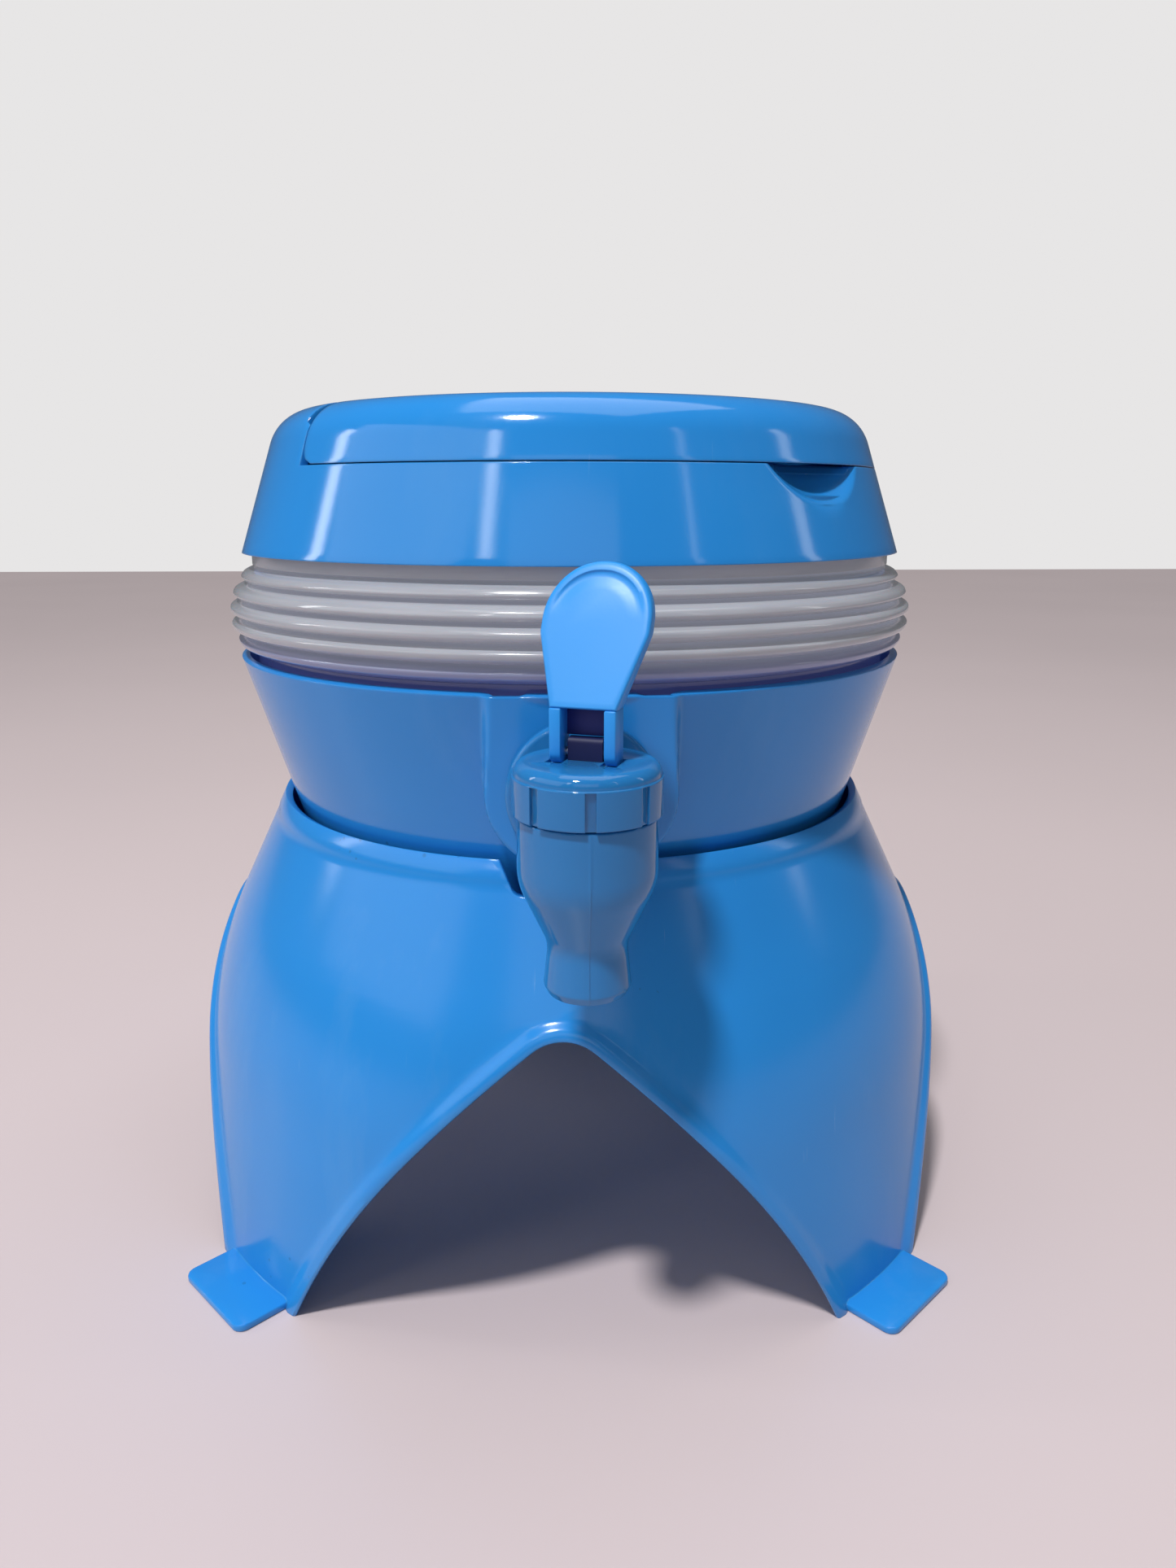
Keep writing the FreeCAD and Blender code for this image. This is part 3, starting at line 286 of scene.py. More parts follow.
def roundedLine(corners, step=radians(6)):
    # corners are (x, y), or (x, y, radius) for a corner that becomes an arc
    points = []
    for i, corner in enumerate(corners):
        here = Vector(corner[:2])
        if len(corner) == 2 or i in (0, len(corners) - 1):
            points.append(here)
            continue
        before = (Vector(corners[i - 1][:2]) - here).normalized()
        after = (Vector(corners[i + 1][:2]) - here).normalized()
        half = before.angle(after) / 2
        centre = here + (before + after).normalized() * corner[2] / sin(half)
        arm = here + before * corner[2] / tan(half) - centre
        turn = arm.angle_signed(here + after * corner[2] / tan(half) - centre)
        count = max(2, ceil(abs(turn) / step))
        points += [centre + Matrix.Rotation(-turn * k / count, 2) @ arm for k in range(count + 1)]
    return points


def alongLine(line, height):
    # the line's first coordinate where its second is the given height
    for low, high in zip(line, line[1:]):
        if low.y <= height <= high.y and high.y > low.y:
            return low.x + (high.x - low.x) * (height - low.y) / (high.y - low.y)
    return line[-1].x if height > line[-1].y else line[0].x


def evenAngles(count):
    return spread(0, 2 * pi, count)[:-1]


def turnedOn(bm, profile, angles, swell=None):
    # a closed profile of (radius, height) turned about the upright axis
    rings = []
    for point in profile:
        if point.x < 1e-6:  # on the axis
            rings.append([bm.verts.new((0, 0, point.y))] * len(angles))
            continue
        ring = []
        for angle in angles:
            radius = point.x + (swell(point, angle) if swell else 0)
            ring.append(bm.verts.new((radius * sin(angle), -radius * cos(angle), point.y)))
        rings.append(ring)
    for low, high in zip(rings, rings[1:] + rings[:1]):
        for k in range(len(angles)):
            n = (k + 1) % len(angles)
            corners = [low[k], low[n], high[n], high[k]]
            corners = [v for i, v in enumerate(corners) if v not in corners[:i]]
            if len(corners) > 2:
                bm.faces.new(corners)
    bmesh.ops.recalc_face_normals(bm, faces=bm.faces)


def ringOn(bm, bore, edge, low, high):
    # a plain ring of square section
    turnedOn(bm, roundedLine([(bore, low), (edge, low), (edge, high), (bore, high)]), evenAngles(160))


def pushedOn(bm, outline, low, high, across=False):
    # a closed flat outline of (x, y) pushed upwards, or one of (depth, height) pushed sideways
    rings = [[bm.verts.new((p.x, p.y, height)) for p in outline] for height in (low, high)]
    sheetRows(bm, [ring + ring[:1] for ring in rings])
    bm.faces.new(rings[0])
    bm.faces.new(rings[1])
    bmesh.ops.recalc_face_normals(bm, faces=bm.faces)
    if across:
        bmesh.ops.transform(bm, verts=rings[0] + rings[1], matrix=crossways)


def blockOn(bm, low, high):
    made = bmesh.ops.create_cube(bm, size=1)["verts"]
    for vert in made:
        vert.co = Vector(a + (b - a) * (c + 0.5) for a, b, c in zip(low, high, vert.co))


def sheetRows(bm, rows):
    for low, high in zip(rows, rows[1:]):
        for k in range(len(low) - 1):
            bm.faces.new([low[k], low[k + 1], high[k + 1], high[k]])


def facingOut(bm):
    bmesh.ops.recalc_face_normals(bm, faces=bm.faces)
    if sum(f.normal.dot(Vector((f.verts[0].co.x, f.verts[0].co.y, 0))) for f in bm.faces) < 0:
        bmesh.ops.reverse_faces(bm, faces=bm.faces)


def seamedOut(bm):
    # closes a sheet's seams and faces it outwards
    bmesh.ops.remove_doubles(bm, verts=bm.verts, dist=0.002)
    facingOut(bm)


def spun(bm, verts=None, turn=0, shift=(0, 0, 0)):
    matrix = Matrix.Translation(shift) @ Matrix.Rotation(radians(turn), 4, "Z")
    bmesh.ops.transform(bm, matrix=matrix, verts=verts or bm.verts)


def tipped(bm, angle, axis):
    bmesh.ops.rotate(bm, verts=bm.verts, matrix=Matrix.Rotation(angle, 3, axis))


def linked(name, data):
    thing = bpy.data.objects.new(name, data)
    bpy.context.scene.collection.objects.link(thing)
    return thing


def asObject(name, bm, unit=mm):
    bmesh.ops.scale(bm, vec=(unit, unit, unit), verts=bm.verts)
    mesh = bpy.data.meshes.new(name)
    bm.to_mesh(mesh)
    bm.free()
    return linked(name, mesh)


def settled(piece):
    # bakes the modifiers into a plain mesh
    graph = bpy.context.evaluated_depsgraph_get()
    mesh = bpy.data.meshes.new_from_object(piece.evaluated_get(graph))
    piece.modifiers.clear()
    piece.data = mesh
    return piece


def cutBy(piece, tool):
    cut = piece.modifiers.new("cut", "BOOLEAN")
    cut.operation = "DIFFERENCE"
    cut.solver = "EXACT"
    cut.object = tool
    settled(piece)
    bpy.data.objects.remove(tool)


def thickened(piece, wall, floor, even=True):
    # a sheet given its wall inwards, with nothing left below the floor height
    shell = piece.modifiers.new("wall", "SOLIDIFY")
    shell.thickness = wall * mm
    shell.offset = -1
    shell.use_even_offset = even
    settled(piece)
    for vertex in piece.data.vertices:
        vertex.co.z = max(vertex.co.z, floor * mm)
    return piece


def eased(piece, width, angle=40, segments=2):
    edge = piece.modifiers.new("edge", "BEVEL")
    edge.width = width * mm
    edge.segments = segments
    edge.limit_method = "ANGLE"
    edge.angle_limit = radians(angle)
    return settled(piece)


def joinedTo(piece, others):
    bm = bmesh.new()
    bm.from_mesh(piece.data)
    for other in others:
        bm.from_mesh(other.data)
        bpy.data.objects.remove(other)
    bm.to_mesh(piece.data)
    bm.free()


def turnedBy(piece, degrees):
    piece.data.transform(Matrix.Rotation(radians(degrees), 4, "Z"))


def dressed(piece, finish, body, nodes, sharp=35):
    piece.data.materials.clear()
    piece.data.materials.append(finish)
    piece.data.shade_smooth()
    piece.data.set_sharp_from_angle(angle=radians(sharp))
    if body:
        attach(piece, body)
    if nodes:
        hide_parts(*nodes)
    return piece


def weldedCopy(name, node):
    # a node's own surface, merged so that it can be shaded smooth
    bm = bmesh.new()
    bm.from_mesh(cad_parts[node].data)
    bmesh.ops.remove_doubles(bm, verts=bm.verts, dist=1e-6)
    return asObject(name, bm, unit=1)


# Geometry node trees

def geometryTree(name, inputs):
    # inputs names each socket and its kind
    tree = bpy.data.node_groups.new(name, "GeometryNodeTree")
    for label, kind in inputs.items():
        tree.interface.new_socket(label, in_out="INPUT", socket_type="NodeSocket" + kind)
    tree.interface.new_socket("Geometry", in_out="OUTPUT", socket_type="NodeSocketGeometry")
    graph = Graph(tree)
    entry = graph.add("NodeGroupInput").socket.node
    return tree, graph, {label: Wire(graph, entry.outputs[label]) for label in inputs}


def treeEnd(graph, geometry, finish):
    real = graph.add("GeometryNodeRealizeInstances", {0: geometry})
    painted = graph.add("GeometryNodeSetMaterial", {"Geometry": real, "Material": finish})
    graph.add("NodeGroupOutput", {0: painted})


def grown(name, tree, values):
    piece = linked(name, bpy.data.meshes.new(name))
    modifier = piece.modifiers.new(name, "NODES")
    modifier.node_group = tree
    for item in tree.interface.items_tree:
        if item.in_out == "INPUT":
            modifier[item.identifier] = values[item.name]
    return settled(piece)


def repeatRound(finish):
    # one shape repeated round the upright axis
    tree, graph, given = geometryTree("repeatRound", {"Shape": "Object", "Count": "Int", "Start": "Float"})
    shape = graph.add("GeometryNodeObjectInfo", {"Object": given["Shape"]}, out="Geometry")
    points = graph.add("GeometryNodePoints", {"Count": given["Count"]})
    index = graph.add("GeometryNodeInputIndex")
    angle = given["Start"] + index * (2 * pi) / given["Count"]
    turn = graph.add("ShaderNodeCombineXYZ", {"Z": angle})
    copies = graph.add("GeometryNodeInstanceOnPoints",
                       {"Points": points, "Instance": shape, "Rotation": turn})
    treeEnd(graph, copies, finish)
    return tree


ringTree = repeatRound(standBlue)


# Stand: a bell on four legs, its arches edged with a raised lip

standSize = {
    "height": 121.5, "rimRadius": 87.48, "shoulderHeight": 72.8, "shoulderRadius": 111.2,
    "shoulderRound": 126, "footRadius": 119, "wall": 2.2, "turn": -2.6,
    "archHeight": 83.4, "archWidth": 140.4, "archCrownRound": 12, "archSideRound": 205,
    "bandDrop": 5.2, "bandProud": 0.3, "bandStep": 0.5,
    "seatBore": 62, "seatTop": 104, "seatThickness": 2.2,
    "tabReach": 132.7, "tabWidth": 30, "tabThickness": 2, "tabRound": 3, "tabEase": 0.5,
    "notchWidth": 32, "notchFloor": 24, "notchDepth": 8, "notchRound": 2.7, "notchFrom": 60,
    "edge": 0.45, "sideRows": 44, "crownRows": 10, "fieldColumns": 36, "bellRows": 12, "weld": 0.005,
}
# how far from the arch's edge, and how proud of the bell, the lip's section runs
lipSection = ((0, 0.7), (0.35, 1.25), (0.95, 1.6), (2.5, 1.6), (3.2, 1.2), (3.8, 0.4), (4.6, 0))


def archCentres(size):
    # the crown's arc and the side arc that runs from it to the foot
    crown = Vector((0, size["archHeight"] - size["archCrownRound"]))
    foot = Vector((size["archWidth"] / 2, 0))
    near, far = size["archSideRound"] - size["archCrownRound"], size["archSideRound"]
    span = foot - crown
    along = (near ** 2 - far ** 2 + span.length_squared) / (2 * span.length)
    away = sqrt(near ** 2 - along ** 2)
    across = Vector((span.y, -span.x)).normalized()
    return crown, crown + span.normalized() * along + across * away


def bellSheet(size, line):
    # a quarter of the bell from arch to arch, repeated round
    crown, side = archCentres(size)
    meet = atan2(crown.y - side.y, crown.x - side.x)

    def archPoint(row, grow):
        if row <= size["sideRows"]:
            radius = size["archSideRound"] + grow
            low = asin(-side.y / radius)
            angle = low + (meet - low) * row / size["sideRows"]
            return side.x + radius * cos(angle), side.y + radius * sin(angle)
        radius = size["archCrownRound"] + grow
        angle = meet + (pi / 2 - meet) * (row - size["sideRows"]) / size["crownRows"]
        return crown.x + radius * cos(angle), crown.y + radius * sin(angle)

    bm = bmesh.new()
    rows = []
    for row in range(size["sideRows"] + size["crownRows"] + 1):
        lip = []
        for grow, proud in lipSection:
            x, z = archPoint(row, grow)
            radius = alongLine(line, z) + proud
            lip.append(Vector((x, -sqrt(radius ** 2 - x ** 2), z)))
        start = asin(lip[-1].x / radius)  # the lip's last point lies on the bell
        field = []
        for k in range(1, size["fieldColumns"]):
            angle = start + (pi / 2 - 2 * start) * k / size["fieldColumns"]
            field.append(Vector((radius * sin(angle), -radius * cos(angle), lip[-1].z)))
        mirrored = [Vector((-p.y, -p.x, p.z)) for p in reversed(lip)]
        rows.append([bm.verts.new(p) for p in lip + field + mirrored])
    top = rows[-1][len(lipSection) - 1:len(rows[-1]) - len(lipSection) + 1]
    bandFoot = size["height"] - size["bandDrop"]
    band = (bandFoot + size["bandStep"], (bandFoot + size["height"]) / 2, size["height"])
    levels = [(z, 0) for z in spread(top[0].co.z, bandFoot, size["bellRows"])[1:]]
    levels += [(z, size["bandProud"]) for z in band]
    ringRows = [top]
    for height, proud in levels:
        radius = alongLine(line, height) + proud
        angles = spread(0, pi / 2, len(top) - 1)
        ringRows.append([bm.verts.new((radius * sin(a), -radius * cos(a), height)) for a in angles])
    sheetRows(bm, rows)
    sheetRows(bm, ringRows)
    quarter = bm.verts[:] + bm.edges[:] + bm.faces[:]
    for turn in (90, 180, 270):
        made = bmesh.ops.duplicate(bm, geom=quarter)["geom"]
        spun(bm, [g for g in made if isinstance(g, bmesh.types.BMVert)], turn)
    bmesh.ops.remove_doubles(bm, verts=bm.verts, dist=size["weld"])
    return bm


def notchTool(size):
    # the notch's outline runs a little past the rim, so that the cut is clean
    notch = bmesh.new()
    floor = size["height"] - size["notchDepth"]
    wide, over = size["notchWidth"] / 2 + 0.5, size["height"] + 1
    flat, bend = size["notchFloor"] / 2, size["notchRound"]
    outline = roundedLine([(-wide, over), (-flat, floor, bend), (flat, floor, bend), (wide, over)])
    pushedOn(notch, outline, size["notchFrom"], size["footRadius"])
    tipped(notch, pi / 2, "X")
    return asObject("notch", notch)


def seatRing(size, line):
    seat = bmesh.new()
    under = size["seatTop"] - size["seatThickness"]
    edge = alongLine(line, size["seatTop"]) - size["wall"] / 2
    ringOn(seat, size["seatBore"], edge, under, size["seatTop"])
    return asObject("seat", seat)


def footTabs(size):
    tab = bmesh.new()
    root, half = size["footRadius"] - size["wall"], size["tabWidth"] / 2
    end, bend = size["tabReach"], size["tabRound"]
    outline = roundedLine([(root, -half), (end, -half, bend), (end, half, bend), (root, half)], radians(15))
    pushedOn(tab, outline, 0, size["tabThickness"])
    blank = eased(asObject("tabBlank", tab), size["tabEase"], angle=60)
    tabs = grown("footTabs", ringTree, {"Shape": blank, "Count": 4, "Start": pi / 4})
    bpy.data.objects.remove(blank)
    return tabs


def makeStand(size):
    line = roundedLine([(size["footRadius"], 0),
                        (size["shoulderRadius"], size["shoulderHeight"], size["shoulderRound"]),
                        (size["rimRadius"], size["height"])], radians(1))
    stand = asObject("standBell", bellSheet(size, line))
    thickened(stand, size["wall"], 0)
    cutBy(stand, notchTool(size))
    eased(stand, size["edge"], angle=50)
    joinedTo(stand, [seatRing(size, line), footTabs(size)])
    turnedBy(stand, size["turn"])
    dressed(stand, standBlue, "stand", ["stand"])


makeStand(standSize)
print("stand made")


# Bellows: five soft ribs between two plain cuffs

bellowsSize = {
    "bottom": 158.4, "top": 192.675, "firstRib": 167.3, "ribs": 5, "pitch": 4.65, "depth": 2.0,
    "crestShare": 1.7, "creaseDepth": 3.5, "creaseShare": 24, "belly": 99.3, "bellyHeight": 175.0,
    "barrelRound": 14.8, "cuff": 92.4, "wall": 0.9, "around": 224, "along": 200,
    "sunkFrom": 171.5, "sunkTo": 164,
}


def sleeveTree(shape):
    kinds = {key: "Int" if key in ("around", "along") else "Float" for key in shape}
    tree, rib, given = geometryTree("ribbedSleeve", kinds)

    def ribWave(height):
        # nought on the crests and one in the folds, and whether the height is among the ribs
        phase = (height - given["firstRib"]) / given["pitch"]
        wave = 0.5 - 0.5 * rib.add("ShaderNodeMath", {0: phase * (2 * pi)}, {"operation": "COSINE"})
        return wave, (phase > -0.5) * (phase < given["ribs"] - 0.5)

    sleeve = rib.add("GeometryNodeMeshGrid", {"Vertices X": given["around"], "Vertices Y": given["along"]})
    spot = rib.add("GeometryNodeInputPosition")
    spotX, spotY, spotZ = [rib.add("ShaderNodeSeparateXYZ", {0: spot}, out=axis) for axis in "XYZ"]
    height = given["bottom"] + (spotY + 0.5) * (given["top"] - given["bottom"])
    wave, inRibs = ribWave(height)
    crest = given["belly"] - (height - given["bellyHeight"]) ** 2 / (2 * given["barrelRound"])
    crease = given["creaseDepth"] * wave ** given["creaseShare"]
    ribbed = crest - given["depth"] * wave ** given["crestShare"] - crease
    radius = (inRibs * ribbed + (1 - inRibs) * given["cuff"]) * mm
    angle = (spotX + 0.5) * (2 * pi)
    sine = rib.add("ShaderNodeMath", {0: angle}, {"operation": "SINE"})
    cosine = rib.add("ShaderNodeMath", {0: angle}, {"operation": "COSINE"})
    wrapped = rib.add("ShaderNodeCombineXYZ",
                      {"X": radius * sine, "Y": 0 - radius * cosine, "Z": height * mm})
    shaped = rib.add("GeometryNodeSetPosition", {"Geometry": sleeve, "Position": wrapped})
    marked = rib.add("GeometryNodeMergeByDistance", {"Geometry": shaped, "Distance": 0.00001})
    # the finish reads how far a spot is sunk in the tub and in a fold: the first paints shade low down, the
    # second a paler painted glow in the folds
    risen = spotZ / mm
    risenWave, risenIn = ribWave(risen)
    marks = {"sunk": (risen - given["sunkFrom"]) / (given["sunkTo"] - given["sunkFrom"]),
             "fold": risenIn * risenWave ** (given["creaseShare"] / 3)}
    for name, value in marks.items():
        marked = rib.add("GeometryNodeStoreNamedAttribute",
                         {"Geometry": marked, "Name": name, "Value": value})
    treeEnd(rib, marked, milky)
    return tree


def makeBellows(size):
    shape = {key: value for key, value in size.items() if key != "wall"}
    bellows = grown("bellowsSleeve", sleeveTree(shape), shape)
    bm = bmesh.new()
    bm.from_mesh(bellows.data)
    facingOut(bm)
    bm.to_mesh(bellows.data)
    bm.free()
    thickened(bellows, size["wall"], size["bottom"])
    dressed(bellows, milky, None, ["bellows"], 60)
    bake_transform(bellows)


makeBellows(bellowsSize)
print("bellows made")


# Tub: a cone with a round-bottomed flat pad for the tap

tubSize = {
    "base": 104, "baseRadius": 79.2, "baseRound": 4, "rim": 163, "rimRadius": 97, "wall": 2.2, "edge": 0.7,
    "padFace": 96, "padHalf": 21.6, "padCentre": 141, "padEase": 1.6, "padSide": radians(17),
    "ledgeDrop": 6, "ledge": 1.8, "ledgeBore": 88.4, "shankHole": 7, "holeReach": 60,
    "floorStart": 2, "upRows": 90, "padColumns": 110, "plainColumns": 150,
}


def makeTub(size):
    line = roundedLine([(size["floorStart"], size["base"]),
                        (size["baseRadius"], size["base"], size["baseRound"]),
                        (size["rimRadius"], size["rim"])], radians(15))
    steep = [Vector((alongLine(line[1:], z), z)) for z in spread(line[-2].y, size["rim"], size["upRows"])]
    fine = size["padSide"]
    angles = spread(-fine, fine, size["padColumns"])[:-1]
    angles += spread(fine, 2 * pi - fine, size["plainColumns"])[:-1]
    bm = bmesh.new()
    rows = []
    for point in line[:-2] + steep:
        row = []
        for angle in angles:
            x, radius = point.x * sin(angle), point.x
            below = min(0, point.y - size["padCentre"])
            inside = size["padHalf"] - hypot(x, below)
            if cos(angle) > 0.5 and inside > -size["padEase"]:  # the front only
                share = min(1, (inside + size["padEase"]) / (2 * size["padEase"]))
                radius += smoothed(max(0, size["padFace"] / cos(angle) - radius), share)
            row.append(bm.verts.new((radius * sin(angle), -radius * cos(angle), point.y)))
        rows.append(row + [row[0]])
    sheetRows(bm, rows)
    bm.faces.new(rows[0][:-1])
    seamedOut(bm)
    tub = thickened(asObject("tubShell", bm), size["wall"], size["base"], even=False)
    hole = bmesh.new()
    bore, reach = size["shankHole"], size["holeReach"]
    turnedOn(hole, roundedLine([(0, -reach), (bore, -reach), (bore, reach), (0, reach)]), evenAngles(64))
    tipped(hole, pi / 2, "X")
    spun(hole, shift=(0, -size["padFace"], size["padCentre"]))
    eased(tub, size["edge"], angle=60)
    cutBy(tub, asObject("shankHole", hole))
    ledge = bmesh.new()
    top = size["rim"] - size["ledgeDrop"]
    outer = alongLine(line[1:], top) - size["wall"] / 2
    ringOn(ledge, size["ledgeBore"], outer, top - size["ledge"], top)
    joinedTo(tub, [asObject("ledge", ledge)])
    dressed(tub, shellBlue, "bottle", ["tub"], 40)


makeTub(tubSize)
print("tub made")


# Collar and flip lid: one cone with a rounded shoulder, split along the seam and the hinge

collarSize = {
    "radius": 95, "topRadius": 82.35, "base": 191.475, "top": 229.475, "round": 13, "wall": 2.2, "plate": 2,
    "turn": 42, "seam": 213.775, "seamGap": 0.3, "edge": 1.05, "cornerRound": 4.5, "scoopEase": 1.2,
    "hinge": 4, "roll": 2.2, "rollHalf": 63.6, "rollRound": 0.3, "deckEdge": 7, "deckDrop": 5.2,
    "earStart": 64, "earWidth": 6, "earGap": 0.4, "earTuck": 2, "earEase": 0.3, "roomOver": 2,
    "scoopBall": 39, "scoopReach": 110, "scoopHeight": 238.275, "scoopHalf": radians(27),
    "fill": 77.5, "spigotWall": 1.8, "spigot": 5.7, "spigotRound": 0.6, "landDrop": 0.4,
    "ledgeBore": 83, "ledge": 204.475, "skirtBore": 88.35, "skirtWall": 1.9, "skirtFoot": 193.275,
    "lidColumns": 150, "sideColumns": 44, "scoopColumns": 180, "backColumns": 90, "deckCount": 10,
    "topStep": 1.2, "lowStep": 2, "fineStep": 0.25, "fineDrop": 9,
}
collarLine = roundedLine([(collarSize["radius"], collarSize["base"]),
                          (collarSize["topRadius"], collarSize["top"], collarSize["round"]),
                          (0, collarSize["top"])], radians(5))


def lineBetween(line, low, high, step):
    # the line's own points between two heights, with its straight stretch divided
    heights = spread(low, high, max(1, ceil((high - low) / step)))
    steep = [Vector((alongLine(line, z), z)) for z in heights if z < line[1].y]
    curved = [p for p in line[1:-1] if low < p.y <= high]
    return steep + curved


def arcRow(bm, point, angles):
    return [bm.verts.new((point.x * sin(a), -point.x * cos(a), point.y)) for a in angles]


def deckRows(bm, rim, edge, count):
    # flat rows from a round rim to a straight edge across it
    ends = spread(rim[0].co.x, rim[-1].co.x, len(rim) - 1)
    rows = []
    for share in spread(0, 1, count)[1:]:
        rows.append([bm.verts.new(v.co.lerp(Vector((x, edge, v.co.z)), share)) for v, x in zip(rim, ends)])
    return rows


def makeLid(size):
    bm = bmesh.new()
    base = size["seam"] + size["seamGap"]
    rear = size["hinge"] - size["seamGap"]
    bend = size["cornerRound"]
    rows = []
    for point in lineBetween(collarLine, base, size["top"], size["topStep"]):
        low = min(max(0, bend - (point.y - base)), bend)
        reach = pi / 2 + asin((rear - (bend - sqrt(bend ** 2 - low ** 2))) / point.x)
        rows.append(arcRow(bm, point, spread(-reach, reach, size["lidColumns"])))
    rows += deckRows(bm, rows[-1], rear, size["deckCount"])
    sheetRows(bm, rows)
    seamedOut(bm)
    lid = thickened(asObject("lidShell", bm), size["wall"], base, even=False)
    eased(lid, size["edge"], angle=50, segments=3)
    rooms = bmesh.new()
    half = size["earWidth"] / 2 + size["earGap"]
    front = size["hinge"] - size["roll"] - 2 * size["earGap"]
    for sign in (-1, 1):
        middle = sign * (size["earStart"] + size["earWidth"] / 2)
        blockOn(rooms, (middle - half, front, size["top"] - 3 * size["roll"]),
                (middle + half, size["hinge"] + size["roomOver"], size["top"] + size["roomOver"]))
    cutBy(lid, asObject("earRooms", rooms))
    roll = bmesh.new()
    thick, long, bend = size["roll"], size["rollHalf"], size["rollRound"]
    turnedOn(roll, roundedLine([(0, -long), (thick, -long, bend), (thick, long, bend), (0, long)]),
             evenAngles(48))
    tipped(roll, pi / 2, "Y")
    spun(roll, shift=(0, size["hinge"], size["top"] - size["roll"]))
    joinedTo(lid, [asObject("roll", roll)])
    turnedBy(lid, size["turn"])
    dressed(lid, lidBlue, "lid", ["flip_lid"])


def scoopRadius(size, angle, height):
    # where a ray from the axis meets the finger scoop's ball, or nothing
    reach = size["scoopReach"]
    along = reach * cos(angle)
    square = along ** 2 - reach ** 2 - (height - size["scoopHeight"]) ** 2 + size["scoopBall"] ** 2
    return along - sqrt(square) if square > 0 and along > 0 else None


def softLower(first, second, ease):
    # the lower of two values, eased where they cross
    if second is None or second > first + ease:
        return first
    near = max(0, ease - abs(first - second)) / ease
    return min(first, second) - near * near * ease / 4


def collarSheet(size):
    # the full cone up to the seam, and the fixed half behind the hinge above it
    bm = bmesh.new()
    rear = size["hinge"] + size["seamGap"]
    side = pi / 2 + asin(rear / alongLine(collarLine, size["seam"]))
    fine = size["scoopHalf"]
    front = spread(-side, -fine, size["sideColumns"]) + spread(-fine, fine, size["scoopColumns"])[1:-1]
    front += spread(fine, side, size["sideColumns"])
    back = spread(side, 2 * pi - side, size["backColumns"])
    fineFrom = size["seam"] - size["fineDrop"]
    points = lineBetween(collarLine, size["base"], fineFrom, size["lowStep"])[:-1]
    points += lineBetween(collarLine, fineFrom, size["seam"], size["fineStep"])
    rows = []
    for point in points:
        row = []
        for angle in front + back[1:-1]:
            radius = softLower(point.x, scoopRadius(size, angle, point.y), size["scoopEase"])
            row.append(bm.verts.new((radius * sin(angle), -radius * cos(angle), point.y)))
        rows.append(row + [row[0]])
    sheetRows(bm, rows)
    upper = [rows[-1][len(front) - 1:]]
    deckFoot = size["top"] - size["deckDrop"]
    for point in lineBetween(collarLine, size["seam"], size["top"], size["topStep"])[1:]:
        edge = size["deckEdge"] if point.y > deckFoot else rear
        reach = pi / 2 + asin(edge / point.x)
        upper.append(arcRow(bm, point, spread(reach, 2 * pi - reach, size["backColumns"])))
    upper += deckRows(bm, upper[-1], size["deckEdge"], size["deckCount"])
    sheetRows(bm, upper)
    seamedOut(bm)
    return bm


def collarLand(size):
    # the plate under the lid with its spigot, opened by the finger scoop
    inner = bmesh.new()
    fill, seam, bend = size["fill"], size["seam"], size["spigotRound"]
    edge = alongLine(collarLine, seam) - size["wall"] / 2
    outer, top = fill + size["spigotWall"], seam + size["spigot"]
    under, land = seam - size["plate"], seam - size["landDrop"]
    turnedOn(inner, roundedLine([(fill, under), (edge, under), (edge, land), (outer, land, bend),
                                 (outer, top, bend), (fill, top, bend)]), evenAngles(180))
    plate = asObject("land", inner)
    ball = bmesh.new()
    bmesh.ops.create_uvsphere(ball, u_segments=96, v_segments=48, radius=size["scoopBall"])
    spun(ball, shift=(0, -size["scoopReach"], size["scoopHeight"]))
    cutBy(plate, asObject("scoopBall", ball))
    return plate


def collarRings(size):
    # the ledge on the gasket, and the skirt round the neck
    rings = bmesh.new()
    ledge, top = size["ledge"], size["ledge"] + size["plate"]
    edge = alongLine(collarLine, top) - size["wall"] / 2
    ringOn(rings, size["ledgeBore"], edge, ledge, top)
    skirt = size["skirtBore"]
    ringOn(rings, skirt, skirt + size["skirtWall"], size["skirtFoot"], ledge)
    return asObject("rings", rings)


def hingeEars(size):
    ears = bmesh.new()
    root, tip = size["deckEdge"] + size["earTuck"], size["hinge"] - size["roll"]
    under, bend = size["top"] - 2 * size["roll"], size["roll"] * 0.98
    outline = roundedLine([(root, under), (tip, under, bend), (tip, size["top"], bend),
                           (root, size["top"])], radians(10))
    for sign in (-1, 1):
        low = sign * (size["earStart"] + size["earWidth"] / 2) - size["earWidth"] / 2
        pushedOn(ears, outline, low, low + size["earWidth"], across=True)
    return eased(asObject("ears", ears), size["earEase"], angle=50)


def makeCollar(size):
    collar = thickened(asObject("collarShell", collarSheet(size)), size["wall"], size["base"], even=False)
    eased(collar, size["edge"], angle=55, segments=3)
    joinedTo(collar, [collarLand(size), collarRings(size), hingeEars(size)])
    turnedBy(collar, size["turn"])
    dressed(collar, lidBlue, "collar", ["collar"])


makeLid(collarSize)
makeCollar(collarSize)
print("collar and lid made")


# Tap: a swelling barrel on a shank, with a grooved screw cap

